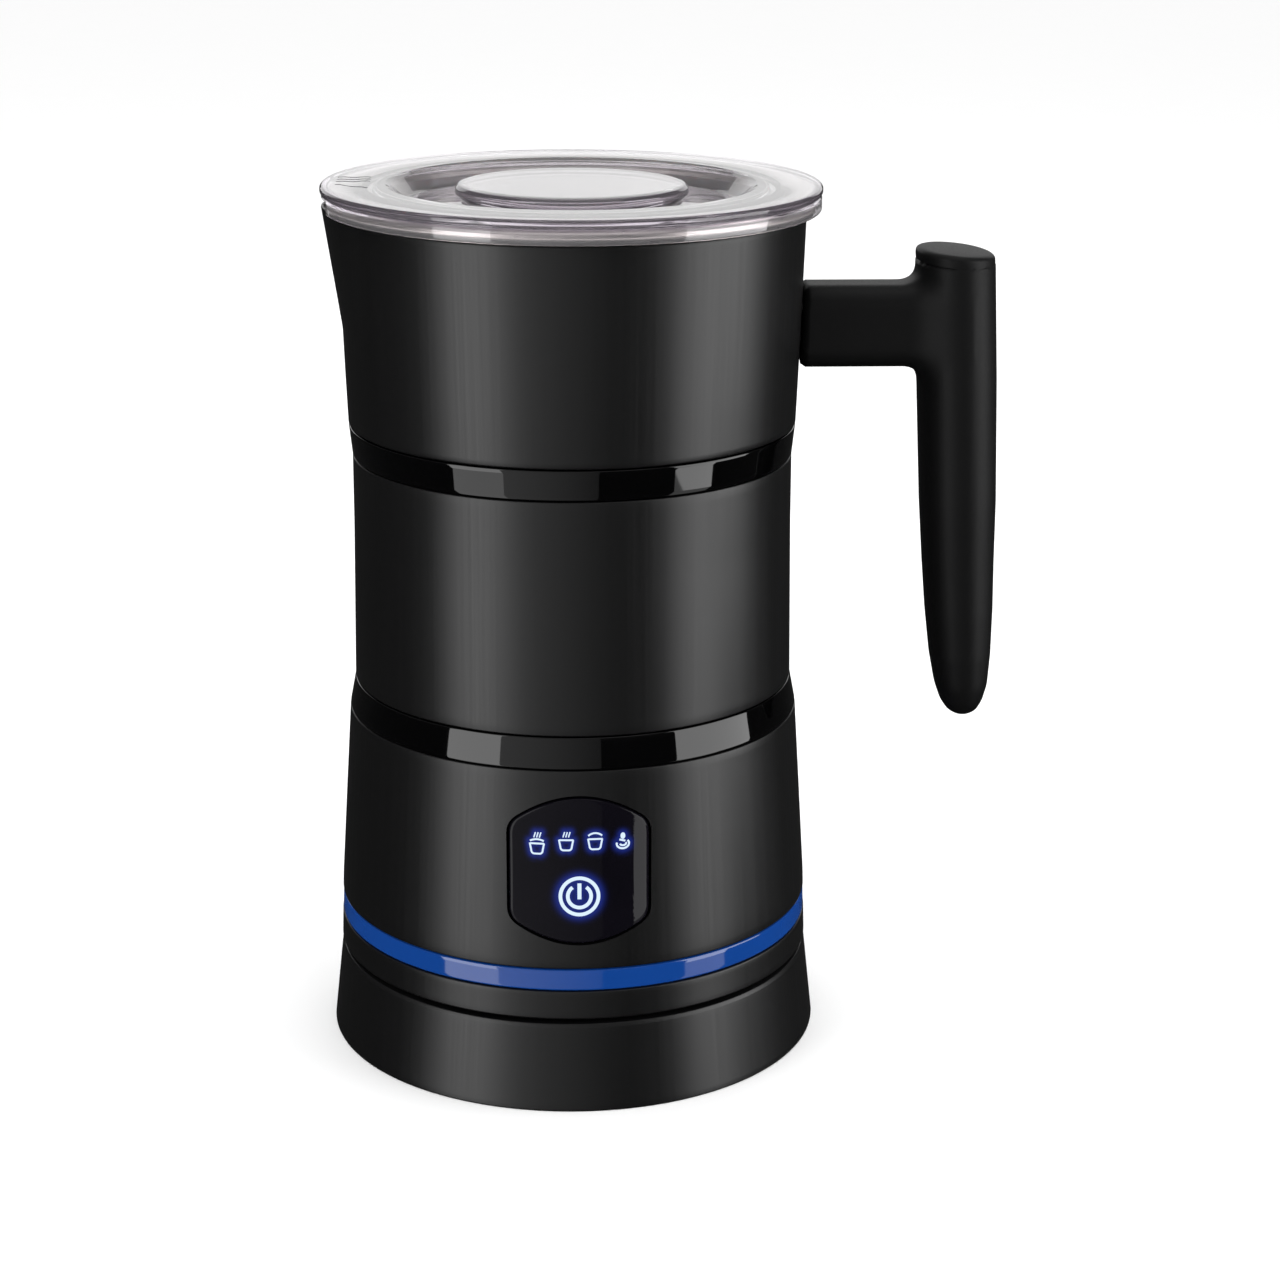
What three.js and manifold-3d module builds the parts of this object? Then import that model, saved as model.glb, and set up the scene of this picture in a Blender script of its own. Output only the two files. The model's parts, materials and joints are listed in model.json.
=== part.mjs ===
// A cordless electric milk frother: a powered base, a heated jug that lifts off it,
// a magnetically driven whisk in the jug's steel pot, and a clear push-on lid.
// Millimetres, +Z up. The origin is on the jug's axis, on the surface the base stands on.
// The control panel faces -Y, the handle points along +X and the pouring spout along -X.
import * as THREE from "three";
import { mergeVertices } from "three/addons/utils/BufferGeometryUtils.js";
import Module from "manifold-3d";

const wasm = await Module();
wasm.setup();

// ---- Driving dimensions ----
const FIT_GAP = 0.3; // clearance between pieces that touch on the bench
const ROUND = 32; // facets round the large shells
const SMALL_ROUND = 16; // facets round pins, bushes and discs
const SCREW_ROUND = 8;
const GRIP_ROUND = 20;

const BASE_TOP = 18.7;
const BASE_FOOT_R = 52.4;
const BASE_TOP_R = 51.0;
const BASE_WALL = 2.2;
const BASE_EDGE_Z = 0.6;
const FLOOR_Z = 0.8; // underside of the base's floor
const FLOOR_THICK = 2.5;
const FOOT_R = 5.5;
const FOOT_RING_R = 40;
const FOOT_COUNT = 4;
const BASE_SCREW_RING_R = 33;
const SCREW_COUNT = 3;

const JUG_Z = 19.7; // underside of the jug when it sits on the base
const SKIRT_TOP = 25.8;
const LIGHT_RING = { low: 26.1, high: 30.5, outer: 50.3, inner: 47.4 };
const SHELL_THICK = 0.8;
const LOWER_SHELL = { low: 30.8, high: 72.5 };
const LOWER_TRIM = { low: 72.8, high: 79.1 };
const WAIST_SHELL = { low: 79.4, high: 127.4 };
const UPPER_TRIM = { low: 127.7, high: 133.8 };
const UPPER_SHELL = { low: 134.1, high: 177.8 };
// Outer radius of the jug against height: a wide foot, a slim waist and a slightly wider mouth.
const JUG_OUTLINE = [
  [19.7, 50.8], [34, 50.3], [54.7, 48.85], [72.5, 47.6], [79.2, 46.25],
  [127.4, 45.75], [134.3, 46.5], [144.5, 46.85], [179.5, 48.0],
];

const SPOUT_START_Z = 155;
const SPOUT_LIP_Z = 179.3;
const SPOUT_REACH = 3.1; // how far the lip stands out from the round outline
const SPOUT_HALF_ANGLE = THREE.MathUtils.degToRad(26);

const POT_FLOOR = { under: 60.6, top: 61.6 };
const POT_INNER_R = 42.8;
const POT_RIM_R = 49.5;
const POT_RIM_TOP = 180.8;

const LID = { top: 183.2, outer: 51.3, skirtLow: 178.3, skirtOuter: 51.1, skirtInner: 49.9,
  flangeUnder: 181.2, recessTopR: 37.8, recessFloorR: 34.6, recessZ: 179.1, floorUnder: 177.0,
  plugOuter: 42.2, plugInner: 40.4, plugLow: 173.0, knobR: 23.9 };

const PANEL = { halfWidth: 14.45, low: 36.5, high: 66.9, sideLow: 43, sideHigh: 61,
  cornerX: 12.9, cornerLow: 41, cornerHigh: 62.7, thick: 2.2 };

const GRIP = { tip: 69.2, arm: { low: 145.8, high: 162.4, halfY: 7.5, from: 43, to: 76 },
  capThick: 1.8, topX: 79.45, topZ: 169.05, topTilt: THREE.MathUtils.degToRad(7) };
// Grip stations from the tip up: height, centre x, width along x.
const GRIP_STATIONS = [
  [69.2, 84.2, 0], [69.5, 84.2, 3.0], [70.5, 84.1, 5.6], [72.5, 84.0, 8.2], [76, 83.8, 10.6],
  [83, 83.3, 12.6], [93, 82.8, 14.1], [103, 82.1, 14.9], [116, 81.5, 15.8], [142, 80.35, 16.3],
  [168, 79.0, 15.8], [173, 78.9, 15.8],
];
const GRIP_DEPTH_RATIO = 1.3; // depth along y over width along x
const GRIP_SQUARENESS = 2.3; // superellipse exponent of the section

const HANDLE_SCREW_Z = [150.5, 157];
const COVER_SCREW_RING_R = 36;

const TURRET_R = 11;
const SOCKET_R = 14;
const MAGNET_OFFSET = 8;
const DRIVE_MAGNET = { radius: 3.0, low: 53.9, high: 56.7 };
const WHISK_MAGNET = { radius: 2.6, low: 62.8, high: 64.6 };
const COIL = { ringR: 19.2, tubeR: 3.3, z: 67 };

// ---- Materials ----
const finish = (color, roughness, metalness) =>
  () => new THREE.MeshStandardMaterial({ color, roughness, metalness });
const satinBlack = finish(0x2b2b2c, 0.42, 0.6);
const glossBlack = finish(0x0a0a0b, 0.08, 0.1);
const softBlack = finish(0x1d1d1e, 0.6, 0);
const innerPlastic = finish(0x3c3c3e, 0.6, 0);
const ringBlue = finish(0x1d49ad, 0.25, 0);
const clearPlastic = finish(0xd9d5da, 0.08, 0);
const steel = finish(0xb9b4ab, 0.28, 1);
const rubber = finish(0x161616, 0.9, 0);
const silicone = finish(0xd8d8d6, 0.6, 0);
const brass = finish(0xb08d4a, 0.3, 1);
const aluminium = finish(0xa9abad, 0.4, 1);
const circuitGreen = finish(0x1f5a36, 0.5, 0);
const magnetNickel = finish(0x8d8f92, 0.3, 1);

// ---- Solids ----
// A closed three.js geometry as a manifold solid: vertices merged, collapsed triangles dropped,
// and turned the right way out.
function solid(geometry) {
  const bare = geometry.index ? geometry.toNonIndexed() : geometry.clone();
  bare.deleteAttribute("normal");
  bare.deleteAttribute("uv");
  const merged = mergeVertices(bare, 1e-4);
  const index = merged.index.array;
  const kept = [];
  for (let i = 0; i < index.length; i += 3) {
    const [a, b, c] = [index[i], index[i + 1], index[i + 2]];
    if (a !== b && b !== c && c !== a) kept.push(a, b, c);
  }
  if (signedVolume(merged.attributes.position, kept) < 0) {
    for (let i = 0; i < kept.length; i += 3) [kept[i], kept[i + 1]] = [kept[i + 1], kept[i]];
  }
  return new wasm.Manifold(new wasm.Mesh({
    numProp: 3,
    vertProperties: new Float32Array(merged.attributes.position.array),
    triVerts: new Uint32Array(kept),
  }));
}

function signedVolume(position, index) {
  const corner = [0, 1, 2].map(() => new THREE.Vector3());
  let volume = 0;
  for (let i = 0; i < index.length; i += 3) {
    corner.forEach((v, k) => v.fromBufferAttribute(position, index[i + k]));
    volume += corner[0].dot(corner[1].clone().cross(corner[2])) / 6;
  }
  return volume;
}

function geometryOf(shape) {
  const mesh = shape.getMesh();
  const geometry = new THREE.BufferGeometry();
  geometry.setAttribute("position", new THREE.BufferAttribute(mesh.vertProperties, 3));
  geometry.setIndex(new THREE.BufferAttribute(mesh.triVerts, 1));
  const flat = geometry.toNonIndexed();
  flat.computeVertexNormals();
  return flat;
}

function piece(name, shape, material) {
  const mesh = new THREE.Mesh(geometryOf(shape), material());
  mesh.name = name;
  return mesh;
}

function placed(mesh, x, y, z = 0) {
  mesh.position.set(x, y, z);
  return mesh;
}

// Profile points [radius, height] turned round +Z. A profile that doesn't end on the axis is closed.
function turned(points, segments = ROUND, shape = null) {
  const onAxis = points[0][0] === 0 && points.at(-1)[0] === 0;
  const loop = onAxis ? points : [...points, points[0]];
  const profile = loop.map(([r, z]) => new THREE.Vector2(r, z));
  const geometry = new THREE.LatheGeometry(profile, segments).rotateX(Math.PI / 2);
  if (shape) moveVertices(geometry, shape);
  return solid(geometry);
}

function moveVertices(geometry, shape) {
  const position = geometry.attributes.position;
  const v = new THREE.Vector3();
  for (let i = 0; i < position.count; i++) {
    shape(v.fromBufferAttribute(position, i));
    position.setXYZ(i, v.x, v.y, v.z);
  }
}

function disc(radius, low, high, segments = SMALL_ROUND) {
  return turned([[0, low], [radius, low], [radius, high], [0, high]], segments);
}

function tube(inner, outer, low, high, segments = ROUND) {
  return turned([[inner, low], [outer, low], [outer, high], [inner, high]], segments);
}

function block(width, depth, low, high, x = 0, y = 0) {
  const box = new THREE.BoxGeometry(width, depth, high - low);
  return solid(box.translate(x, y, (low + high) / 2));
}

// A cylinder lying along +X.
function barAlongX(radius, from, to, z, segments = SCREW_ROUND) {
  const bar = new THREE.CylinderGeometry(radius, radius, to - from, segments).rotateZ(Math.PI / 2);
  return solid(bar.translate((from + to) / 2, 0, z));
}

function onRing(radius, index, count, phase = 0) {
  const angle = phase + (index * 2 * Math.PI) / count;
  return [radius * Math.cos(angle), radius * Math.sin(angle)];
}

const join = (shapes) => shapes.reduce((all, next) => all.add(next));
const cut = (shape, tools) => tools.reduce((rest, tool) => rest.subtract(tool), shape);

// ---- Jug outline ----
function interpolate(table, at, column = 1) {
  const last = table.length - 1;
  if (at <= table[0][0]) return table[0][column];
  if (at >= table[last][0]) return table[last][column];
  const i = table.findIndex((row) => row[0] > at) - 1;
  const share = (at - table[i][0]) / (table[i + 1][0] - table[i][0]);
  return THREE.MathUtils.lerp(table[i][column], table[i + 1][column], share);
}

const jugRadius = (z) => interpolate(JUG_OUTLINE, z);

// Heights between low and high where the outline needs a point.
function outlineHeights(low, high, extra = []) {
  const inside = [...JUG_OUTLINE.map((row) => row[0]), ...extra]
    .filter((z) => z > low + 0.5 && z < high - 0.5);
  return [low, ...inside, high].sort((a, b) => a - b);
}

// A thin wall that follows the jug's outline, offset inwards.
function outlineWall(low, high, inset, thick, extra = []) {
  const heights = outlineHeights(low, high, extra);
  const outer = heights.map((z) => [jugRadius(z) - inset, z]);
  const inner = heights.map((z) => [jugRadius(z) - inset - thick, z]).reverse();
  return [...outer, ...inner];
}

// The spout pushes the wall out along -X: a cosine window in angle times a ramp in height.
function spoutWindow(x, y) {
  const angle = Math.abs(Math.atan2(y, -x));
  return angle < SPOUT_HALF_ANGLE ? Math.cos((angle / SPOUT_HALF_ANGLE) * (Math.PI / 2)) ** 2 : 0;
}

function spoutPush(v, share) {
  const radius = Math.hypot(v.x, v.y);
  if (radius === 0) return;
  const ramp = THREE.MathUtils.clamp((v.z - SPOUT_START_Z) / (SPOUT_LIP_Z - SPOUT_START_Z), 0, 1);
  const grow = 1 + (SPOUT_REACH * share(radius) * ramp * spoutWindow(v.x, v.y)) / radius;
  v.x *= grow;
  v.y *= grow;
}

// ---- Base ----
function baseCover() {
  const slope = (BASE_FOOT_R - BASE_TOP_R) / (BASE_TOP - BASE_EDGE_Z);
  const outer = (z) => BASE_FOOT_R - slope * (z - BASE_EDGE_Z);
  const plateUnder = BASE_TOP - 3.2;
  const profile = [
    [outer(BASE_EDGE_Z) - BASE_WALL, BASE_EDGE_Z], [outer(BASE_EDGE_Z), BASE_EDGE_Z],
    [outer(6), 6], [outer(BASE_TOP - 0.6), BASE_TOP - 0.6], [outer(BASE_TOP) - 0.6, BASE_TOP],
    [46, BASE_TOP], [44.5, BASE_TOP - 1.2], [21, BASE_TOP - 1.2], [20, JUG_Z - FIT_GAP],
    [TURRET_R + FIT_GAP, JUG_Z - FIT_GAP], [TURRET_R + FIT_GAP, plateUnder],
    [outer(plateUnder) - BASE_WALL, plateUnder],
  ];
  const bosses = [];
  const bores = [];
  for (let i = 0; i < SCREW_COUNT; i++) {
    const [x, y] = onRing(BASE_SCREW_RING_R, i, SCREW_COUNT, Math.PI / 2);
    const bossLow = FLOOR_Z + FLOOR_THICK + FIT_GAP;
    bosses.push(disc(3.6, bossLow, plateUnder + 1, SCREW_ROUND).translate([x, y, 0]));
    bores.push(disc(1.8, 0, 13, SCREW_ROUND).translate([x, y, 0]));
  }
  const cordHole = block(8.6, 20, 5.7, 12.3, 0, 50);
  return cut(join([turned(profile), ...bosses]), [...bores, cordHole]);
}

function baseFloor() {
  const plate = disc(49.6, FLOOR_Z, FLOOR_Z + FLOOR_THICK, ROUND);
  const pockets = [];
  for (let i = 0; i < FOOT_COUNT; i++) {
    const [x, y] = onRing(FOOT_RING_R, i, FOOT_COUNT, Math.PI / 4);
    pockets.push(disc(FOOT_R + FIT_GAP, 0, FLOOR_Z + 1.5, SMALL_ROUND).translate([x, y, 0]));
  }
  for (let i = 0; i < SCREW_COUNT; i++) {
    const [x, y] = onRing(BASE_SCREW_RING_R, i, SCREW_COUNT, Math.PI / 2);
    pockets.push(disc(3.4, 0, FLOOR_Z + 1.6, SCREW_ROUND).translate([x, y, 0]));
    pockets.push(disc(1.8, 0, 5, SCREW_ROUND).translate([x, y, 0]));
  }
  return cut(plate, pockets);
}

function screw(headR, headLow, headHigh, shankR, tip) {
  return turned([[0, headLow], [headR, headLow], [headR, headHigh], [shankR, headHigh],
    [shankR, tip - 1], [0, tip]], SCREW_ROUND);
}

// The raised round plug on the base, open at the top, with its flange held under the cover.
function connectorTurret() {
  return turned([
    [0, 13.4], [15.5, 13.4], [15.5, 15.1], [TURRET_R, 15.1], [TURRET_R, 28.9], [TURRET_R - 0.7, 29.6],
    [9.6, 29.6], [9.6, 20.2], [0, 20.2],
  ], 24);
}

function contactRing(inner, outer, high) {
  return tube(inner, outer, 20.5, high, SMALL_ROUND);
}

function contactPin() {
  return turned([[0, 20.5], [1.6, 20.5], [1.6, 27.2], [0.8, 28.2], [0, 28.2]], SCREW_ROUND);
}

// The grommet at the back of the base, with a slot for a flat two-core lead.
function cordGland() {
  const outside = solid(new THREE.BoxGeometry(11, 2.4, 9).translate(0, 53.6, 9));
  const throughWall = solid(new THREE.BoxGeometry(8, 6, 6).translate(0, 50.4, 9));
  const inside = solid(new THREE.BoxGeometry(11, 2, 9).translate(0, 47.4, 9));
  const slot = solid(new THREE.BoxGeometry(5.8, 20, 3.4).translate(0, 50, 9));
  return cut(join([outside, throughWall, inside]), [slot]);
}

// ---- Socket under the jug ----
// The turning half of the cordless connector: an outer cup over the turret and two contact tubes
// that reach down between the turret's rings.
function connectorSocket() {
  return turned([
    [0, 30.6], [2.4, 30.6], [2.4, 22], [3.6, 22], [3.6, 30.6], [5.8, 30.6], [5.8, 22], [6.8, 22],
    [6.8, 30.6], [TURRET_R + 0.6, 30.6], [TURRET_R + 0.6, 20.3], [SOCKET_R, 20.3], [SOCKET_R, 22.3],
    [19, 22.3], [19, 24.2], [SOCKET_R, 24.2], [SOCKET_R, 33], [0, 33],
  ], 24);
}

// ---- Jug ----
function bottomCover() {
  const inner = jugRadius(SKIRT_TOP) - 2;
  const shell = turned([
    [SOCKET_R + 0.5, JUG_Z], [jugRadius(JUG_Z) - 0.5, JUG_Z], [jugRadius(JUG_Z), JUG_Z + 0.5],
    [jugRadius(SKIRT_TOP), SKIRT_TOP], [inner, SKIRT_TOP], [inner, JUG_Z + 2.2],
    [SOCKET_R + 0.5, JUG_Z + 2.2],
  ]);
  const holes = [];
  for (let i = 0; i < SCREW_COUNT; i++) {
    const [x, y] = onRing(COVER_SCREW_RING_R, i, SCREW_COUNT, Math.PI / 2);
    holes.push(disc(3.2, JUG_Z - 1, JUG_Z + 1.4, SCREW_ROUND).translate([x, y, 0]));
    holes.push(disc(1.8, JUG_Z - 1, JUG_Z + 4, SCREW_ROUND).translate([x, y, 0]));
  }
  return cut(shell, holes);
}

function ledBoard() {
  const leds = [];
  const count = 12;
  for (let i = 0; i < count; i++) {
    const led = block(1.8, 2.6, 28.4, 29.6, 45.9, 0);
    leds.push(led.rotate([0, 0, (i * 360) / count + 5]));
  }
  return join([tube(41, 46.8, 27.4, 28.6), ...leds]);
}

// The panel's outline in the XZ plane: upright sides, arched top and bottom, rounded corners.
function panelOutline(grow) {
  const { halfWidth, low, high, sideLow, sideHigh, cornerX, cornerLow, cornerHigh } = PANEL;
  const shape = new THREE.Shape();
  const side = halfWidth + grow;
  const arch = (from, to, peak) => shape.quadraticCurveTo(0, 2 * peak - from[1], to[0], to[1]);
  shape.moveTo(-side, sideLow);
  shape.lineTo(-side, sideHigh);
  shape.quadraticCurveTo(-side, cornerHigh - 0.7 + grow, -cornerX, cornerHigh + grow);
  arch([-cornerX, cornerHigh + grow], [cornerX, cornerHigh + grow], high + grow);
  shape.quadraticCurveTo(side, cornerHigh - 0.7 + grow, side, sideHigh);
  shape.lineTo(side, sideLow);
  shape.quadraticCurveTo(side, cornerLow + 0.7 - grow, cornerX, cornerLow - grow);
  arch([cornerX, cornerLow - grow], [-cornerX, cornerLow - grow], low - grow);
  shape.quadraticCurveTo(-side, cornerLow + 0.7 - grow, -side, sideLow);
  return shape;
}

function panelPrism(grow) {
  const prism = new THREE.ExtrudeGeometry(panelOutline(grow),
    { depth: 20, bevelEnabled: false, curveSegments: 5 });
  return solid(prism.rotateX(Math.PI / 2).translate(0, -38, 0));
}

function lowerShell() {
  const wall = turned(outlineWall(LOWER_SHELL.low, LOWER_SHELL.high, 0, SHELL_THICK));
  return cut(wall, [panelPrism(FIT_GAP)]);
}

function panelWindow() {
  const wall = turned(outlineWall(LOWER_SHELL.low, LOWER_SHELL.high, 0, PANEL.thick));
  return wall.intersect(panelPrism(0));
}

function panelBoard() {
  const board = block(24, 1.2, 39, 58, 0, -43.9);
  const chip = block(6, 1.6, 48, 54, 4, -42.7);
  return join([board, chip]);
}

// A gloss band between two shells, with a sleeve behind it that both shells slide over.
function trimRing(band) {
  const sleeveTop = band.high + 3;
  const sleeveLow = band.low - 3;
  const behind = SHELL_THICK + FIT_GAP;
  const inner = jugRadius(band.high) - behind - 0.8;
  const sleeveR = Math.min(jugRadius(sleeveLow), jugRadius(sleeveTop)) - behind;
  return turned([
    [jugRadius(band.low), band.low], [jugRadius(band.high), band.high], [sleeveR, band.high],
    [sleeveR, sleeveTop], [inner, sleeveTop], [inner, sleeveLow], [sleeveR, sleeveLow], [sleeveR, band.low],
  ]);
}

function waistShell() {
  return turned(outlineWall(WAIST_SHELL.low, WAIST_SHELL.high, 0, SHELL_THICK));
}

function upperShell() {
  const heights = [SPOUT_START_Z, 161, 167, 173];
  const wall = turned(
    outlineWall(UPPER_SHELL.low, SPOUT_LIP_Z, 0, SHELL_THICK, heights),
    ROUND,
    (v) => spoutPush(v, () => 1),
  );
  const aboveRound = disc(POT_RIM_R + 0.35, UPPER_SHELL.high, SPOUT_LIP_Z + 5, ROUND);
  const screwHoles = HANDLE_SCREW_Z.map((z) => barAlongX(1.8, 40, 60, z));
  return cut(wall, [aboveRound, ...screwHoles]);
}

// The steel pot: a round floor, an upright wall, a flared mouth and a rolled rim over the shell.
function innerPot() {
  const inner = [[0, POT_FLOOR.top], [38.8, POT_FLOOR.top], [41.8, 63], [POT_INNER_R, 66], [42.9, 160],
    [43.9, 168], [45.0, 176.5], [46.7, 179.6], [48.2, POT_RIM_TOP]];
  const outer = [[49.2, 180.2], [POT_RIM_R, 179.4], [49.0, 178.5], [47.6, 178.3], [45.8, 176.3],
    [44.7, 168], [43.7, 160], [43.6, 66], [42.5, 62.4], [39.2, POT_FLOOR.under], [0, POT_FLOOR.under]];
  const squash = (radius) => THREE.MathUtils.clamp((POT_RIM_R + 0.45 - radius) / 4, 0.12, 0.75);
  return turned([...inner, ...outer], ROUND, (v) => spoutPush(v, squash));
}

function whiskSpindle() {
  return turned([[0, POT_FLOOR.top + FIT_GAP], [2.1, POT_FLOOR.top + FIT_GAP], [2.1, 69.6],
    [1.2, 70.6], [0, 70.6]], 12);
}

function heaterPlate() {
  return tube(14, 36, 57.8, 60.3, 24);
}

// A sheathed heating element bent most of the way round the plate.
function heaterElement() {
  const ring = new THREE.EllipseCurve(0, 0, 28.5, 28.5, 0.25, 2 * Math.PI - 0.25);
  const path = new THREE.CatmullRomCurve3(
    ring.getSpacedPoints(24).map((p) => new THREE.Vector3(p.x, p.y, 54.2)),
  );
  const section = new THREE.Shape().absarc(0, 0, 3.2, 0, 2 * Math.PI);
  return solid(new THREE.ExtrudeGeometry(section,
    { steps: 28, extrudePath: path, curveSegments: 4, bevelEnabled: false }));
}

// The plate that carries the motor, on three legs down to the bottom cover.
function motorChassis() {
  const legs = [];
  const bores = [];
  for (let i = 0; i < SCREW_COUNT; i++) {
    const [x, y] = onRing(COVER_SCREW_RING_R, i, SCREW_COUNT, Math.PI / 2);
    legs.push(disc(4, JUG_Z + 2.5, 44.5, SCREW_ROUND).translate([x, y, 0]));
    bores.push(disc(1.8, JUG_Z, 36, SCREW_ROUND).translate([x, y, 0]));
  }
  return cut(join([tube(12.4, 42, 44, 46, 24), ...legs]), bores);
}

function motorCase() {
  return turned([[1.8, 35], [10.5, 35], [12, 36.5], [12, 46.3], [15, 46.3], [15, 48.3], [6, 48.3],
    [6, 50.5], [1.8, 50.5]], SMALL_ROUND);
}

function controlBoard() {
  const board = tube(16.5, 31, 38, 39.6, 24);
  const parts = [
    block(9, 12, 39.4, 43.6, 23, 4), block(6, 6, 39.4, 43, -22, 6),
    disc(4, 39.4, 43.6, SCREW_ROUND).translate([-6, -24, 0]), block(8, 5, 39.4, 42, 6, 23),
  ];
  return join([board, ...parts]);
}

// A curved strap inside the shell that the handle's screws pull against.
function handleBracket() {
  const ring = tube(44.9, 45.8, 147, 161);
  const window = block(30, 22, 140, 170, 45, 0);
  return cut(ring.intersect(window), HANDLE_SCREW_Z.map((z) => barAlongX(1.8, 40, 60, z)));
}


function handleScrew(z) {
  return join([barAlongX(2.7, 43.95, 44.65, z), barAlongX(1.4, 44.4, 61, z)]);
}

// The grip: superellipse sections on a gently leaning centre line, closed to a rounded tip.
function gripSolid() {
  const heights = GRIP_STATIONS.map((row) => row[0]);
  const steps = heights.length - 1;
  const drum = new THREE.CylinderGeometry(1, 1, steps, GRIP_ROUND, steps);
  drum.rotateX(Math.PI / 2);
  moveVertices(drum, (v) => {
    const z = heights[Math.round(v.z + steps / 2)];
    const half = interpolate(GRIP_STATIONS, z, 2) / 2;
    const spread = Math.min(1, Math.hypot(v.x, v.y));
    const angle = Math.atan2(v.y, v.x);
    const power = 2 / GRIP_SQUARENESS;
    const cos = Math.cos(angle);
    const sin = Math.sin(angle);
    v.x = interpolate(GRIP_STATIONS, z) + spread * half * Math.sign(cos) * Math.abs(cos) ** power;
    v.y = spread * half * GRIP_DEPTH_RATIO * Math.sign(sin) * Math.abs(sin) ** power;
    v.z = z;
  });
  return solid(drum);
}

// The arm from the jug to the grip: a rounded bar that flares where it meets the grip.
function armSolid() {
  const { low, high, halfY, from, to } = GRIP.arm;
  const halfZ = (high - low) / 2;
  const corner = 3.4;
  const shape = new THREE.Shape();
  shape.absarc(halfZ - corner, halfY - corner, corner, 0, Math.PI / 2);
  shape.absarc(corner - halfZ, halfY - corner, corner, Math.PI / 2, Math.PI);
  shape.absarc(corner - halfZ, corner - halfY, corner, Math.PI, 1.5 * Math.PI);
  shape.absarc(halfZ - corner, corner - halfY, corner, 1.5 * Math.PI, 2 * Math.PI);
  const bar = new THREE.ExtrudeGeometry(shape,
    { depth: to - from, steps: 12, bevelEnabled: false, curveSegments: 3 });
  bar.rotateY(-Math.PI / 2).rotateX(Math.PI).rotateZ(Math.PI);
  bar.translate(0, 0, (low + high) / 2);
  moveVertices(bar, (v) => {
    v.x = from + Math.abs(v.x);
    const flare = Math.max(0, (v.x - 66) / (to - 66)) ** 2;
    const reach = v.z > (low + high) / 2 ? 5 : 4;
    const above = v.z - (low + high) / 2;
    v.z += Math.sign(above) * flare * reach * Math.min(1, Math.abs(above) / 4);
  });
  return solid(bar);
}

// Everything above a plane that tilts down towards +X through the grip's top, lowered by drop.
function aboveGripTop(drop) {
  const slab = new THREE.BoxGeometry(60, 60, 40).translate(0, 0, 20);
  return solid(slab.rotateY(GRIP.topTilt).translate(GRIP.topX, 0, GRIP.topZ - drop));
}

function handle() {
  const shellClear = turned([[0, 130], [jugRadius(130) + FIT_GAP, 130], [jugRadius(144.5) + FIT_GAP, 144.5],
    [jugRadius(170) + FIT_GAP, 170], [0, 170]]);
  const screwHoles = HANDLE_SCREW_Z.map((z) => barAlongX(1.7, 40, 62, z));
  const body = join([gripSolid(), armSolid()]);
  return cut(body, [shellClear, aboveGripTop(GRIP.capThick), ...screwHoles]);
}

function handleCap() {
  const top = cut(gripSolid(), [aboveGripTop(0)]);
  return top.intersect(aboveGripTop(GRIP.capThick - FIT_GAP));
}

// ---- Drive and whisk ----
function magnetCarrier() {
  const hub = turned([[0, 56.6], [12.2, 56.6], [12.2, 52.4], [1.9, 52.4], [1.9, 55.3], [0, 55.3]],
    SMALL_ROUND);
  const pocketR = DRIVE_MAGNET.radius + FIT_GAP;
  const pockets = [-1, 1].map((side) => disc(pocketR, DRIVE_MAGNET.low - FIT_GAP, 60, 12)
    .translate([side * MAGNET_OFFSET, 0, 0]));
  return cut(hub, pockets);
}

function magnet(size) {
  return disc(size.radius, size.low, size.high, 12);
}

function whiskBush() {
  return turned([[0, 71.2], [2.5, 71.2], [2.5, 62.2], [3.6, 62.2], [3.6, 71.8], [2.6, 72.6],
    [0, 72.6]], 12);
}

function whiskHub() {
  const hub = turned([[4, 62.5], [12, 62.5], [12, 64.2], [15.5, 65.2], [15.5, 68.6], [13.6, 68.6],
    [11, 66.6], [7, 67.2], [6, 73.4], [4, 73.4]], 24);
  const pocketR = WHISK_MAGNET.radius + FIT_GAP;
  const pockets = [-1, 1].map((side) => disc(pocketR, 60, WHISK_MAGNET.high + FIT_GAP, 12)
    .translate([side * MAGNET_OFFSET, 0, 0]));
  return cut(hub, pockets);
}

function frothCoil() {
  return solid(new THREE.TorusGeometry(COIL.ringR, COIL.tubeR, 8, 28).translate(0, 0, COIL.z));
}

// ---- Lid ----
// One clear moulding: flange, skirt, plug wall, sunken floor and a round knob on a short neck.
function lid() {
  const { top, outer, skirtLow, skirtOuter, skirtInner, flangeUnder, recessTopR, recessFloorR, recessZ,
    floorUnder, plugOuter, plugInner, plugLow, knobR } = LID;
  const body = turned([
    [0, floorUnder], [recessFloorR + 1.6, floorUnder], [plugInner - 0.8, flangeUnder], [plugInner, flangeUnder],
    [plugInner, plugLow], [plugOuter, plugLow], [plugOuter, flangeUnder], [skirtInner, flangeUnder],
    [skirtInner, skirtLow], [skirtOuter, skirtLow], [skirtOuter, flangeUnder - 0.3],
    [skirtOuter - 0.4, flangeUnder + 0.1], [outer, flangeUnder + 0.6], [outer, top - 0.4], [outer - 0.4, top],
    [recessTopR, top], [recessFloorR, recessZ], [knobR - 1.6, recessZ], [knobR - 1.6, recessZ + 1],
    [knobR, recessZ + 2.2], [knobR - 0.1, top - 0.7], [knobR - 0.9, top - 0.05], [0, top - 0.05],
  ]);
  const spoutNotch = block(10, 26, skirtLow - 5, flangeUnder - 0.2, -49 - 5, 0);
  return cut(body, [spoutNotch]);
}

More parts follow.
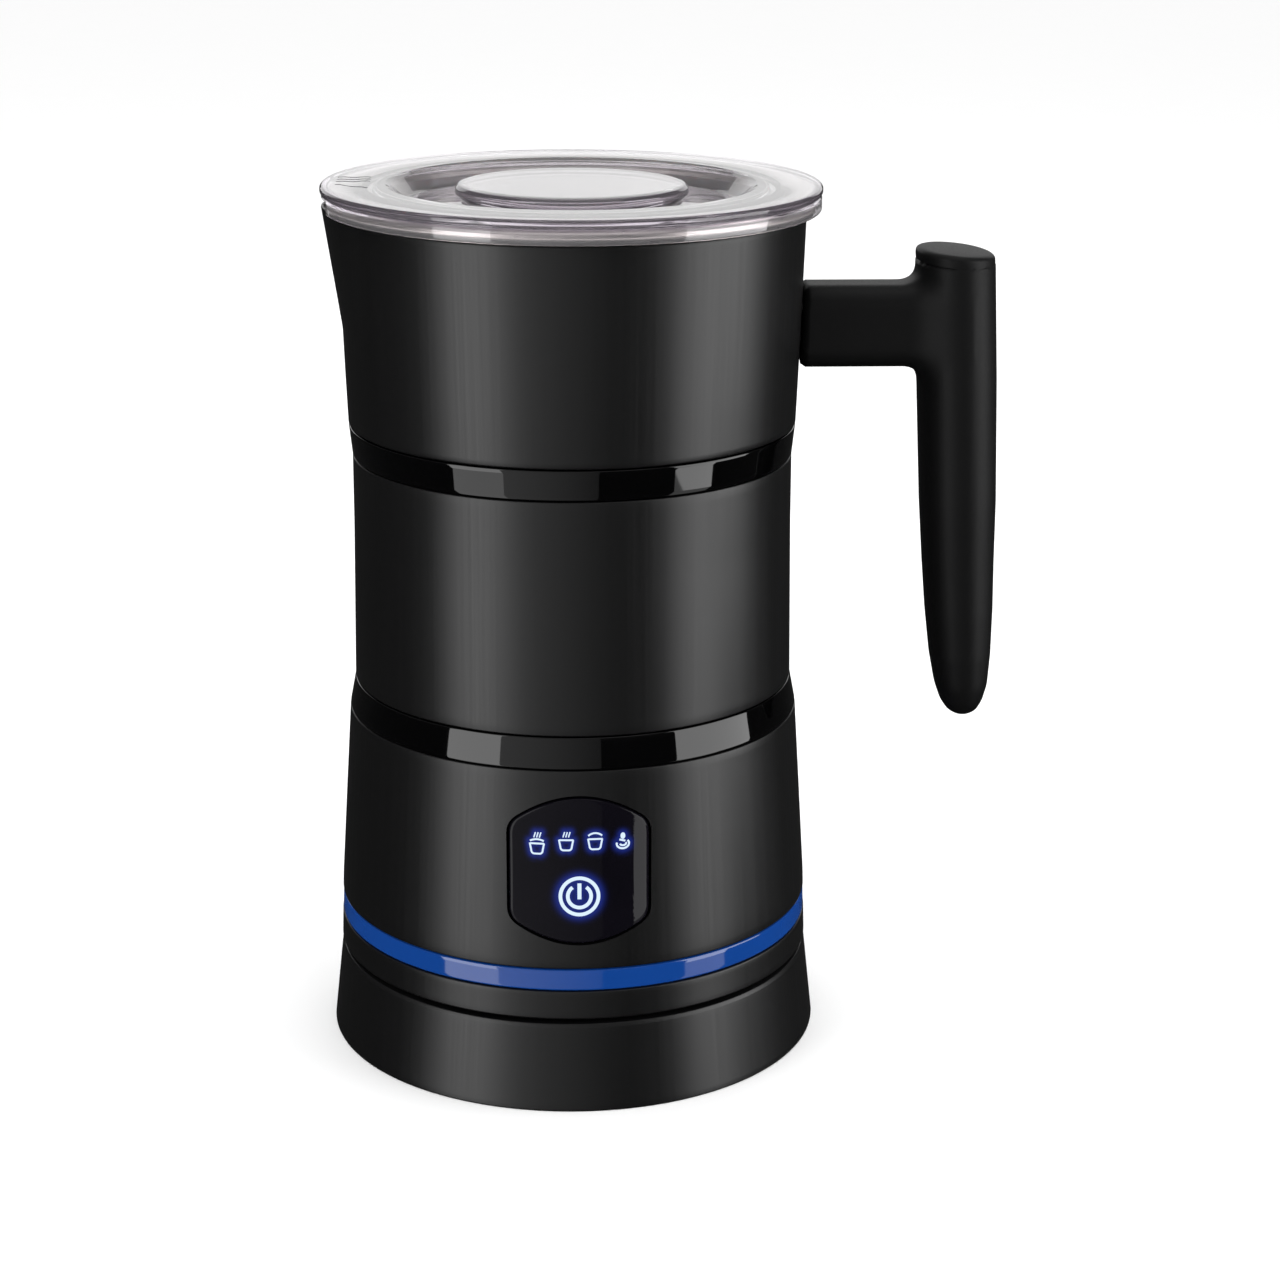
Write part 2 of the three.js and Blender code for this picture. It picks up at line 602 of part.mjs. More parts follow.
function lidGasket() {
  const inner = LID.plugOuter + FIT_GAP;
  return turned([
    [inner, 174], [inner + 0.7, 174], [inner + 1.5, 174.6], [inner + 1.5, 175.1], [inner + 0.7, 175.6],
    [inner + 0.7, 176.4], [inner + 1.8, 177], [inner + 1.8, 177.5], [inner + 0.7, 178], [inner + 0.7, 179.6],
    [inner, 179.6],
  ]);
}

// ---- Assembly ----
function baseGroup() {
  const group = new THREE.Group();
  group.add(
    piece("base_cover", baseCover(), satinBlack),
    piece("base_floor", baseFloor(), innerPlastic),
    piece("connector_turret", connectorTurret(), softBlack),
    piece("contact_pin", contactPin(), brass),
    piece("contact_ring_inner", contactRing(4.3, 5.1, 26), brass),
    piece("contact_ring_outer", contactRing(7.5, 8.3, 24), brass),
    piece("cord_gland", cordGland(), rubber),
  );
  for (let i = 0; i < FOOT_COUNT; i++) {
    const [x, y] = onRing(FOOT_RING_R, i, FOOT_COUNT, Math.PI / 4);
    const pad = turned([[0, 0], [FOOT_R - 0.5, 0], [FOOT_R, 0.5], [FOOT_R, 2], [0, 2]], SMALL_ROUND);
    group.add(placed(piece(`foot_${i + 1}`, pad, rubber), x, y));
  }
  for (let i = 0; i < SCREW_COUNT; i++) {
    const [x, y] = onRing(BASE_SCREW_RING_R, i, SCREW_COUNT, Math.PI / 2);
    group.add(placed(piece(`base_screw_${i + 1}`, screw(3.0, FLOOR_Z + 0.3, 2.1, 1.4, 12), steel), x, y));
  }
  return group;
}

function jugGroup() {
  const group = new THREE.Group();
  group.add(
    piece("bottom_cover", bottomCover(), satinBlack),
    piece("light_ring", tube(LIGHT_RING.inner, LIGHT_RING.outer, LIGHT_RING.low, LIGHT_RING.high), ringBlue),
    piece("led_board", ledBoard(), circuitGreen),
    piece("lower_shell", lowerShell(), satinBlack),
    piece("lower_trim_ring", trimRing(LOWER_TRIM), glossBlack),
    piece("waist_shell", waistShell(), satinBlack),
    piece("upper_trim_ring", trimRing(UPPER_TRIM), glossBlack),
    piece("upper_shell", upperShell(), satinBlack),
    piece("inner_pot", innerPot(), steel),
    piece("whisk_spindle", whiskSpindle(), steel),
    piece("heater_plate", heaterPlate(), aluminium),
    piece("heater_element", heaterElement(), steel),
    placed(piece("thermostat", disc(5, 50, 57.5, 12), innerPlastic), 0, 18.6),
    placed(piece("temperature_probe", disc(1.8, 50, 57.5, 8), steel), -17, -4),
    piece("motor_chassis", motorChassis(), innerPlastic),
    piece("motor_case", motorCase(), aluminium),
    piece("control_board", controlBoard(), circuitGreen),
    piece("panel_window", panelWindow(), glossBlack),
    piece("panel_board", panelBoard(), circuitGreen),
    piece("handle", handle(), softBlack),
    piece("handle_cap", handleCap(), softBlack),
    piece("handle_bracket", handleBracket(), steel),
  );
  HANDLE_SCREW_Z.forEach((z, i) => group.add(piece(`handle_screw_${i + 1}`, handleScrew(z), steel)));
  for (let i = 0; i < SCREW_COUNT; i++) {
    const [x, y] = onRing(COVER_SCREW_RING_R, i, SCREW_COUNT, Math.PI / 2);
    const fastener = screw(2.8, JUG_Z + 0.1, JUG_Z + 1.1, 1.4, 34);
    group.add(placed(piece(`bottom_screw_${i + 1}`, fastener, steel), x, y));
  }
  return group;
}

function driveGroup() {
  const group = new THREE.Group();
  group.add(
    piece("motor_shaft", disc(1.5, 33.8, 55, SCREW_ROUND), steel),
    piece("magnet_carrier", magnetCarrier(), innerPlastic),
  );
  [-1, 1].forEach((side, i) => {
    const made = piece(`drive_magnet_${i + 1}`, magnet(DRIVE_MAGNET), magnetNickel);
    group.add(placed(made, side * MAGNET_OFFSET, 0));
  });
  return group;
}

function whiskGroup() {
  const group = new THREE.Group();
  group.add(
    piece("whisk_bush", whiskBush(), softBlack),
    piece("whisk_hub", whiskHub(), softBlack),
    piece("froth_coil", frothCoil(), steel),
  );
  [-1, 1].forEach((side, i) => {
    const made = piece(`whisk_magnet_${i + 1}`, magnet(WHISK_MAGNET), magnetNickel);
    group.add(placed(made, side * MAGNET_OFFSET, 0));
  });
  return group;
}

function lidGroup() {
  const group = new THREE.Group();
  group.add(
    piece("lid", lid(), clearPlastic),
    piece("lid_gasket", lidGasket(), silicone),
  );
  return group;
}

const frother = new THREE.Group();
frother.add(
  baseGroup(),
  piece("connector_socket", connectorSocket(), softBlack),
  jugGroup(),
  driveGroup(),
  whiskGroup(),
  lidGroup(),
);

export default frother;
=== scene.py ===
"""The finished look of a cordless milk frother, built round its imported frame.

All shapes are worked out in millimetres in the frame's own axes: +Z up along the jug, the control
panel facing -Y, the handle along +X and the spout along -X.
"""

import json
import math

import bmesh
import bpy
import numpy as np
from bpy.props import FloatProperty, FloatVectorProperty, IntProperty, PointerProperty
from mathutils import Matrix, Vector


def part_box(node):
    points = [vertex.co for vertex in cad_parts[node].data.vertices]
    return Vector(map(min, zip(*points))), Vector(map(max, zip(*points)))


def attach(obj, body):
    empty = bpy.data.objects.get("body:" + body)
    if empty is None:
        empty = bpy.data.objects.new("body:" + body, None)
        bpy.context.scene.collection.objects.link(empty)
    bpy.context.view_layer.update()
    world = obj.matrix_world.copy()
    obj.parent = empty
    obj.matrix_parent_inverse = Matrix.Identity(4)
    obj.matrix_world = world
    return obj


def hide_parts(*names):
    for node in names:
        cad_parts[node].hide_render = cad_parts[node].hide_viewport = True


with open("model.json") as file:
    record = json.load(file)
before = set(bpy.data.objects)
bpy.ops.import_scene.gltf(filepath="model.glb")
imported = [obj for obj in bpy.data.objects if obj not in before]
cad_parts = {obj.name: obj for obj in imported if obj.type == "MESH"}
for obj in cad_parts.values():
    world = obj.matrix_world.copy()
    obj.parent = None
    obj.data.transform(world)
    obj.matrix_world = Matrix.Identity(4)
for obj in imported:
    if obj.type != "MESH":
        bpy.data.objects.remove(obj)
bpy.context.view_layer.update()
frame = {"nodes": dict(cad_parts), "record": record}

bl_info = {
    "name": "Milk Frother",
    "version": (1, 0, 0),
    "blender": (4, 5, 0),
    "location": "View3D > Sidebar > Frother",
    "description": "Builds the surfaces and finishes of a cordless milk frother",
    "category": "Object",
}

MM = 0.001
TAU = 2 * math.pi


def node_mm(name):
    """Lowest and highest corners of a CAD node, in millimetres."""
    low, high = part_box(name)
    return np.array(low) / MM, np.array(high) / MM


def levels(name):
    """The two heights between which a CAD node lies, in millimetres."""
    low, high = node_mm(name)
    return low[2], high[2]


# ---- Sizes read from the frame, in millimetres ----
BASE_TOP = levels("base_cover")[1]
SKIRT_LOW, SKIRT_HIGH = levels("bottom_cover")
RING_LOW, RING_HIGH = levels("light_ring")
LOWER_LOW, LOWER_HIGH = levels("lower_shell")
WAIST_LOW, WAIST_HIGH = levels("waist_shell")
UPPER_LOW = levels("upper_shell")[0]
LID_TOP = levels("lid")[1]
COIL_LOW, COIL_HIGH = levels("froth_coil")
COIL_REACH = node_mm("froth_coil")[1][0]
TURRET_REACH = node_mm("connector_turret")[1][0]

# ---- Jug, in millimetres ----
# Outer radius against height: a wide foot, a slim waist and a slightly wider mouth.
OUTLINE_Z = [19.7, 34.0, 54.7, 72.7, 79.2, 112.0, 127.5, 134.0, 144.5, 179.5]
OUTLINE_R = [50.8, 50.3, 48.95, 47.75, 46.5, 46.0, 45.95, 46.65, 47.05, 48.15]
SHELL_WALL = 0.8
LOWER_WALL = 2.2
SHELL_SOFTEN = 0.3
TRIM_BANDS = (("lower_trim_ring", 72.75, 79.15), ("upper_trim_ring", 127.65, 133.85))
TRIM_SLEEVE = 3
SPOUT_START = 154.0
SPOUT_REACH = 3.1
SPOUT_HALF_ANGLE = math.radians(26)
MOUTH_RIM = 177.8
LIP_TOP = 178.9

# ---- Base, in millimetres ----
BASE_FOOT, BASE_SHOULDER = 52.85, 50.75
BASE_LOW = 0.05
BASE_EDGE = 18.7
BASE_WALL = 2.2
FOOT_CIRCLE = 40
CONTACTS = (("contact_ring_inner", 4.3, 5.1, 26.0), ("contact_ring_outer", 7.5, 8.3, 24.0))
SCREW_CIRCLE = 36

# ---- Lid, in millimetres ----
LID_FLOOR = 177.0
SEAL_RADIUS = 42.5
MARK_RADIUS = 0.07
MARK_SWING = 0.45
# Where each steam mark lies across the flange at its outer and its inner end.
MARK_ENDS = ((7.6, 7.6), (4.4, 4.6), (1.2, 1.7), (-3.0, -7.8))

# ---- Handle, in millimetres ----
# Grip stations from the tip up: height, centre along x, width along x.
GRIP_Z = [67.9, 68.2, 69.2, 71.4, 75, 82, 92, 103, 116, 142, 168, 173]
GRIP_X = [84.4, 84.4, 84.35, 84.2, 84.0, 83.5, 82.9, 82.3, 81.75, 80.6, 79.4, 79.3]
GRIP_W = [0.0, 3.6, 6.6, 9.2, 11.4, 13.2, 14.5, 15.3, 16.2, 16.7, 16.5, 16.5]
GRIP_DEPTH = 1.3  # depth along y as a share of the width
GRIP_SQUARE = 2.05  # the sections' superellipse exponent
GRIP_TOP = (79.45, 169.2)
GRIP_TILT = math.tan(math.radians(4.5))
GRIP_TIP_END = 76
ARM_LOW, ARM_HIGH = 145.25, 162.4
ARM_HALF_Y = 7.5
ARM_CORNER = 4.6
ARM_BLEND = 4.0
CAP_THICK = 1.8
CAP_SEAM = 0.04
SKIN_VOXEL = 0.00062  # metres

# ---- Control panel, in millimetres ----
PANEL_HALF = 14.1
PANEL_CORNER = 12.4
PANEL_GAP = 0.55
PANEL_CENTRE = np.array([0.0, 52.0])
PANEL_BACK = -2.1
PANEL_ROLL_START = 10.9
POWER_HEIGHT = 46.5
SYMBOL_STROKE = 0.36
POWER_STROKE = 0.74
SYMBOL_LIFT = 0.03

# ---- Stage, in metres and degrees ----
CAMERA_PLACE = (-0.0135, -0.5774, 0.2647)
CAMERA_YAW, CAMERA_PITCH, CAMERA_ROLL = -2.765, 72.74, 0.27
CAMERA_LENS = 79.26
STAGE_MIDDLE = 0.09
# Name, azimuth from the front, distance, width, height, lift above the jug's middle, radiance.
SOFTBOXES = (
    ("key_left", -49.5, 0.9, 0.50, 0.96, 0.15, 3.44),
    ("key_left_foot", -49.5, 0.9, 0.50, 0.42, -0.54, 1.8),
    ("key_right", 73, 0.9, 0.764, 0.85, 0.205, 3.4),
    ("key_right_step", 64, 0.9, 0.36, 0.14, -0.29, 3.4),
    ("key_right_foot", 64, 0.9, 0.36, 0.39, -0.555, 0.9),
    ("back_card", 180, 1.2, 1.6, 0.66, 0.48, 1.15),
    ("top_box", 0, 0.0, 1.0, 1.0, 1.0, 0.9),
)
CARD_DISTANCE = 0.9
CARD_HALF_HEIGHT = 0.62
FLOOR_HALF = 6.0


def jug_radius(z):
    return np.interp(z, OUTLINE_Z, OUTLINE_R)


class FrotherSettings(bpy.types.PropertyGroup):
    """Sizes and colours that a user would change."""
    facets: IntProperty(
        name="Facets", description="Facets round the jug's shells", default=256, min=64, max=512)
    edge_radius: FloatProperty(
        name="Edge radius", description="Rounding of the shells' edges",
        default=0.00035, min=0.0001, max=0.002, unit="LENGTH")
    coil_turns: IntProperty(
        name="Coil turns", description="Turns of spring wire round the froth coil",
        default=78, min=20, max=120)
    wire_radius: FloatProperty(
        name="Wire radius", description="Half the thickness of the froth coil's wire",
        default=0.00045, min=0.0002, max=0.001, unit="LENGTH")
    panel_proud: FloatProperty(
        name="Panel proud", description="How far the touch window stands out of the shell",
        default=0.00025, min=0.0, max=0.001, unit="LENGTH")
    satin_colour: FloatVectorProperty(
        name="Satin black", description="Paint of the base and shells",
        subtype="COLOR", default=(0.0026, 0.0026, 0.0028))
    ring_colour: FloatVectorProperty(
        name="Ring blue", description="Colour of the light ring",
        subtype="COLOR", default=(0.003, 0.032, 0.165))
    symbol_colour: FloatVectorProperty(
        name="Symbol light", description="Light of the lit symbols",
        subtype="COLOR", default=(0.70, 0.85, 1.0))
    floor_colour: FloatVectorProperty(
        name="Floor", description="Colour of the studio floor",
        subtype="COLOR", default=(1.0, 1.0, 1.0))


def settings():
    return bpy.context.scene.frother


# ---- Surfaces ----
def signed_volume(points, faces):
    """Sum of the signed volumes between the origin and each face's fan of triangles."""
    total = 0.0
    for size in (3, 4):
        sized = np.array([f for f in faces if len(f) == size], int)
        if len(sized) == 0:
            continue
        for k in range(1, size - 1):
            a, b, c = points[sized[:, 0]], points[sized[:, k]], points[sized[:, k + 1]]
            total += np.einsum("ij,ij->i", a, np.cross(b, c)).sum() / 6
    return total


def linked(name, data):
    """A new object for the data, in the scene."""
    made = bpy.data.objects.new(name, data)
    bpy.context.scene.collection.objects.link(made)
    return made


def read_points(mesh):
    """The mesh's vertices, in metres."""
    flat = np.empty(len(mesh.vertices) * 3, np.float32)
    mesh.vertices.foreach_get("co", flat)
    return flat.reshape(-1, 3)


def write_points(mesh, points):
    mesh.vertices.foreach_set("co", points.astype(np.float32).ravel())
    mesh.update()


def shaded(mesh, crease=40):
    """Smooth except over edges that turn by more than the crease, in degrees."""
    mesh.shade_smooth()
    mesh.set_sharp_from_angle(angle=math.radians(crease))


def surface_object(name, points, faces, crease=40):
    """A mesh object from points in millimetres, facing outwards, smooth except over sharp edges."""
    if signed_volume(points, faces) < 0:
        faces = [f[::-1] for f in faces]
    mesh = bpy.data.meshes.new(name)
    mesh.from_pydata((np.asarray(points) * MM).tolist(), [], faces)
    mesh.update()
    shaded(mesh, crease)
    return linked(name, mesh)


def grid_faces(rows, columns, wrap_rows=False, wrap_columns=True):
    """Quads of a grid of rows by columns of points, joined up round either direction."""
    i = np.arange(rows if wrap_rows else rows - 1)[:, None]
    j = np.arange(columns if wrap_columns else columns - 1)[None, :]
    i2, j2 = (i + 1) % rows, (j + 1) % columns
    quads = np.stack([i * columns + j, i * columns + j2, i2 * columns + j2, i2 * columns + j], -1)
    return quads.reshape(-1, 4).tolist()


def end_fans(rows, columns):
    """Triangles from the first ring of a grid to one more point, and from its last ring to a second."""
    j = np.arange(columns)
    j2 = (j + 1) % columns
    last = (rows - 1) * columns
    low = np.full(columns, rows * columns)
    return np.stack([j2, j, low], -1).tolist() + np.stack([last + j, last + j2, low + 1], -1).tolist()


def softened(profile, radius, steps=3):
    """The profile with each corner replaced by an arc that touches both its edges.

    The arc's ends lie radius * tan(turn / 2) from the corner, or less where an edge is short, and
    its points follow the quadratic curve that the corner controls.
    """
    points = [np.array(p, float) for p in profile]
    closed = not (points[0][0] == 0 and points[-1][0] == 0)
    count = len(points)
    share = np.linspace(0, 1, steps + 1)[:, None]
    out = []
    for i, corner in enumerate(points):
        if not closed and i in (0, count - 1):
            out.append(corner[None])
            continue
        before, after = points[i - 1] - corner, points[(i + 1) % count] - corner
        reach_before, reach_after = np.linalg.norm(before), np.linalg.norm(after)
        turn = math.pi - math.acos(np.clip(before @ after / (reach_before * reach_after), -1, 1))
        if turn < math.radians(12):
            out.append(corner[None])
            continue
        cut = min(radius * math.tan(min(turn, 2.6) / 2), 0.45 * reach_before, 0.45 * reach_after)
        start, end = corner + before / reach_before * cut, corner + after / reach_after * cut
        out.append((1 - share) ** 2 * start + 2 * share * (1 - share) * corner + share ** 2 * end)
    return np.concatenate(out)


def turned(name, profile, facets=None, soften=None, warp=None, steps=3):
    """A profile of (radius, height) turned round +Z: (r cos a, r sin a, z), then moved by warp.

    A profile whose ends lie on the axis closes there in a point; any other closes on itself.
    """
    facets = facets or settings().facets
    profile = softened(profile, soften or settings().edge_radius / MM, steps)
    polar = profile[0, 0] == 0 and profile[-1, 0] == 0
    rings = profile[1:-1] if polar else profile
    angle = np.arange(facets) * TAU / facets
    r, z = rings[:, 0][:, None], rings[:, 1][:, None]
    upright = np.broadcast_to(z, (len(rings), facets))
    points = np.stack([r * np.cos(angle), r * np.sin(angle), upright], -1).reshape(-1, 3)
    faces = grid_faces(len(rings), facets, wrap_rows=not polar)
    if polar:
        points = np.concatenate([points, [[0, 0, profile[0, 1]], [0, 0, profile[-1, 1]]]])
        faces += end_fans(len(rings), facets)
    if warp:
        points = warp(points)
    return surface_object(name, points, faces)


def moved(piece, x, y, z=0.0):
    """The piece with its mesh shifted, in millimetres."""
    write_points(piece.data, read_points(piece.data) + np.array([x, y, z]) * MM)
    return piece


def ring_place(radius, index, count, phase):
    """The (x, y) of one of count places spread evenly round a circle."""
    angle = phase + index * TAU / count
    return radius * math.cos(angle), radius * math.sin(angle)


def applied(piece):
    """The piece with its modifiers worked into its mesh."""
    graph = bpy.context.evaluated_depsgraph_get()
    made = bpy.data.meshes.new_from_object(piece.evaluated_get(graph))
    piece.modifiers.clear()
    piece.data = made
    made.name = piece.name
    return piece


def carved(piece, cutters):
    """The piece with each cutter taken out of it, the cutters then removed."""
    for cutter in cutters:
        modifier = piece.modifiers.new("cut", "BOOLEAN")
        modifier.operation = "DIFFERENCE"
        modifier.solver = "EXACT"
        modifier.object = cutter
    shaded(applied(piece).data)
    for cutter in cutters:
        bpy.data.objects.remove(cutter)
    return piece


def rounded_block(name, low, high, radius, per_corner=5):
    """A box with rounded edges, from the grid on a cube: each point is core + radius * direction.

    The core is the point clamped to the box shrunk by the radius, and the direction is the unit
    vector from the core to the point.
    """
    low, high = np.array(low, float), np.array(high, float)
    bm = bmesh.new()
    bmesh.ops.create_cube(bm, size=2.0)
    bmesh.ops.subdivide_edges(bm, edges=bm.edges[:], cuts=2 * per_corner, use_grid_fill=True)
    points = np.array([v.co for v in bm.verts])
    faces = [[v.index for v in f.verts] for f in bm.faces]
    bm.free()
    step = np.linspace(-1, 1, 2 * per_corner + 2)
    half = (high - low) / 2
    placed = np.empty_like(points)
    for axis in range(3):
        inner = half[axis] - radius
        bend = np.linspace(0, 1, per_corner + 1) * radius
        knots = np.concatenate([-inner - bend[::-1], inner + bend])
        placed[:, axis] = np.interp(points[:, axis], step, knots)
    core = np.clip(placed, -(half - radius), half - radius)
    away = placed - core
    length = np.linalg.norm(away, axis=1, keepdims=True)
    away = np.divide(away, length, out=np.zeros_like(away), where=length > 1e-9)
    return surface_object(name, core + away * radius + (low + high) / 2, faces)


def tube_along(path, radius, sides, closed):
    """Points and faces of a round tube: path + radius (n cos b + m sin b).

    n and m are square to the path and to each other.
    """
    path = np.asarray(path, float)
    if closed:
        tangent = np.roll(path, -1, 0) - np.roll(path, 1, 0)
    else:
        tangent = np.gradient(path, axis=0)
    tangent /= np.linalg.norm(tangent, axis=1, keepdims=True)
    normal = np.cross(tangent, np.array([0.0, 0.0, 1.0]))
    normal /= np.linalg.norm(normal, axis=1, keepdims=True)
    other = np.cross(tangent, normal)
    angle = np.arange(sides) * TAU / sides
    cosine, sine = np.cos(angle)[None, :, None], np.sin(angle)[None, :, None]
    ring = normal[:, None] * cosine + other[:, None] * sine
    points = (path[:, None] + ring * radius).reshape(-1, 3)
    return points, grid_faces(len(path), sides, wrap_rows=closed)


def smooth_curve(x, xs, ys):
    """Cubic Hermite curve through (xs, ys), with each slope the mean of its neighbours' secants."""
    xs, ys = np.array(xs, float), np.array(ys, float)
    slope = np.gradient(ys, xs)
    x = np.clip(x, xs[0], xs[-1])
    i = np.clip(np.searchsorted(xs, x, side="right") - 1, 0, len(xs) - 2)
    width = xs[i + 1] - xs[i]
    t = (x - xs[i]) / width
    return ((2 * t ** 3 - 3 * t ** 2 + 1) * ys[i] + (t ** 3 - 2 * t ** 2 + t) * width * slope[i]
            + (3 * t ** 2 - 2 * t ** 3) * ys[i + 1] + (t ** 3 - t ** 2) * width * slope[i + 1])


def smooth_min(a, b, blend):
    """The lower of two fields, rounded over a band of width blend where they are nearly equal."""
    h = np.maximum(blend - np.abs(a - b), 0) / blend
    return np.minimum(a, b) - h * h * blend / 4


def smooth_max(a, b, blend):
    """The higher of two fields, rounded in the same way."""
    return -smooth_min(-a, -b, blend)


# ---- Materials ----
def node_tree(name):
    """A new material, its node tree and its principled shader."""
    material = bpy.data.materials.new(name)
    material.use_nodes = True
    tree = material.node_tree
    return material, tree, tree.nodes["Principled BSDF"]


def add(tree, kind, **values):
    """A node of that kind with its properties set."""
    made = tree.nodes.new(kind)
    for key, value in values.items():
        setattr(made, key, value)
    return made


def vector_math(tree, operation, first, second=(0, 0, 0)):
    made = add(tree, "ShaderNodeVectorMath", operation=operation)
    tree.links.new(first, made.inputs[0])
    made.inputs[1].default_value = second
    return made


def joined(tree, kind, operation, first, second):
    """A node of that kind that combines two outputs."""
    made = add(tree, kind, operation=operation)
    tree.links.new(first, made.inputs[0])
    tree.links.new(second, made.inputs[1])
    return made.outputs[0]


def ranged(tree, value, low, high, from_low=0.0, from_high=1.0):
    """The value mapped from one range, held at its ends, to the range from low to high."""
    made = tree.nodes.new("ShaderNodeMapRange")
    tree.links.new(value, made.inputs["Value"])
    limits = {"From Min": from_low, "From Max": from_high, "To Min": low, "To Max": high}
    for key, number in limits.items():
        made.inputs[key].default_value = number
    return made.outputs["Result"]


def noise(tree, vector, scale, detail=2.0, roughness=0.5):
    made = tree.nodes.new("ShaderNodeTexNoise")
    tree.links.new(vector, made.inputs["Vector"])
    made.inputs["Scale"].default_value = scale
    made.inputs["Detail"].default_value = detail
    made.inputs["Roughness"].default_value = roughness
    return made.outputs["Fac"]


def tinted(tree, factor, dark, light):
    made = add(tree, "ShaderNodeMix", data_type="RGBA")
    tree.links.new(factor, made.inputs["Factor"])
    made.inputs["A"].default_value = (*dark, 1)
    made.inputs["B"].default_value = (*light, 1)
    return made.outputs["Result"]


def dressed(tree, shader, colour=None, roughness=None, glow=None):
    """Links those outputs to the shader's colour, roughness and light."""
    for key, output in (("Base Color", colour), ("Roughness", roughness), ("Emission Strength", glow)):
        if output:
            tree.links.new(output, shader.inputs[key])


def bumped(tree, shader, height, strength, distance):
    made = tree.nodes.new("ShaderNodeBump")
    made.inputs["Strength"].default_value = strength
    made.inputs["Distance"].default_value = distance
    tree.links.new(height, made.inputs["Height"])
    tree.links.new(made.outputs["Normal"], shader.inputs["Normal"])


def object_place(tree):
    return tree.nodes.new("ShaderNodeTexCoord").outputs["Object"]


def flat_place(tree, place):
    """The place with its height taken out."""
    return vector_math(tree, "MULTIPLY", place, (1, 1, 0)).outputs[0]


def round_place(tree, around, along):
    """A vector for streaks that run evenly round the axis, or along it, without a seam.

    It is (x, y) divided by its length, times around, with height times along as the third number.
    """
    place = object_place(tree)
    unit = vector_math(tree, "NORMALIZE", flat_place(tree, place)).outputs[0]
    ring = vector_math(tree, "MULTIPLY", unit, (around, around, 0)).outputs[0]
    upright = vector_math(tree, "MULTIPLY", place, (0, 0, along)).outputs[0]
    return joined(tree, "ShaderNodeVectorMath", "ADD", ring, upright)


def satin_black():
    """Fine matt paint over metal with a faint upright brushing."""
    material, tree, shader = node_tree("satin_black")
    colour = np.array(settings().satin_colour)
    streaks = noise(tree, round_place(tree, 90, 9), 1.0, 3.0, 0.6)
    dressed(tree, shader, tinted(tree, streaks, colour * 0.75, colour * 1.35),
            ranged(tree, streaks, 0.33, 0.40, 0.3, 0.7))
    bumped(tree, shader, noise(tree, object_place(tree), 2600), 0.05, 0.00004)
    shader.inputs["Specular IOR Level"].default_value = 0.5
    return material


def gloss_black():
    """Polished black plastic with a hint of moulding ripple."""
    material, tree, shader = node_tree("gloss_black")
    ripple = noise(tree, object_place(tree), 60, 1.0)
    dressed(tree, shader, tinted(tree, ripple, (0.0003, 0.0003, 0.0004), (0.0007, 0.0007, 0.0008)),
            ranged(tree, ripple, 0.02, 0.05))
    bumped(tree, shader, ripple, 0.02, 0.0001)
    return material


def soft_black():
    """Soft-touch black plastic with a fine sparked grain."""
    material, tree, shader = node_tree("soft_touch_black")
    place = object_place(tree)
    grain, cloud = noise(tree, place, 3200, 3.0, 0.6), noise(tree, place, 45)
    dressed(tree, shader, tinted(tree, cloud, (0.0024, 0.0024, 0.0026), (0.0036, 0.0036, 0.0038)),
            ranged(tree, grain, 0.46, 0.56, 0.3, 0.7))
    bumped(tree, shader, grain, 0.10, 0.00005)
    shader.inputs["Specular IOR Level"].default_value = 0.18
    return material


def moulded(name, colour, roughness, grain_scale=1800, strength=0.12):
    """Moulded plastic or rubber: an even colour with mottling and a fine grain."""
    material, tree, shader = node_tree(name)
    place = object_place(tree)
    grain, cloud = noise(tree, place, grain_scale, 3.0), noise(tree, place, 90)
    colour = np.array(colour)
    dressed(tree, shader, tinted(tree, cloud, colour * 0.85, colour * 1.15),
            ranged(tree, grain, roughness - 0.05, roughness + 0.05, 0.3, 0.7))
    bumped(tree, shader, grain, strength, 0.00006)
    return material


def turned_metal(name, colour, roughness, around=14, along=5200):
    """Metal with fine lathe or spinning marks that run round the axis."""
    material, tree, shader = node_tree(name)
    marks = noise(tree, round_place(tree, around, along), 1.0, 3.0, 0.65)
    colour = np.array(colour)
    dressed(tree, shader, tinted(tree, marks, colour * 0.88, colour * 1.08),
            ranged(tree, marks, roughness - 0.06, roughness + 0.08, 0.3, 0.7))
    bumped(tree, shader, marks, 0.08, 0.00003)
    shader.inputs["Metallic"].default_value = 1.0
    return material


def plain_metal(name, colour, roughness):
    """Cast, stamped or drawn metal with a fine even tooth."""
    material, tree, shader = node_tree(name)
    tooth = noise(tree, object_place(tree), 1400, 3.0)
    colour = np.array(colour)
    dressed(tree, shader, tinted(tree, tooth, colour * 0.9, colour * 1.08),
            ranged(tree, tooth, roughness - 0.05, roughness + 0.07, 0.3, 0.7))
    bumped(tree, shader, tooth, 0.06, 0.00004)
    shader.inputs["Metallic"].default_value = 1.0
    return material


def circuit_board():
    """Green solder mask with darker blocks between its tracks."""
    material, tree, shader = node_tree("circuit_board")
    cells = add(tree, "ShaderNodeTexVoronoi", distance="MANHATTAN", feature="F1")
    cells.inputs["Scale"].default_value = 320
    tree.links.new(object_place(tree), cells.inputs["Vector"])
    blocks = ranged(tree, cells.outputs["Distance"], 0, 1, 0.3, 0.5)
    dressed(tree, shader, tinted(tree, blocks, (0.012, 0.075, 0.03), (0.02, 0.13, 0.05)))
    shader.inputs["Roughness"].default_value = 0.35
    return material


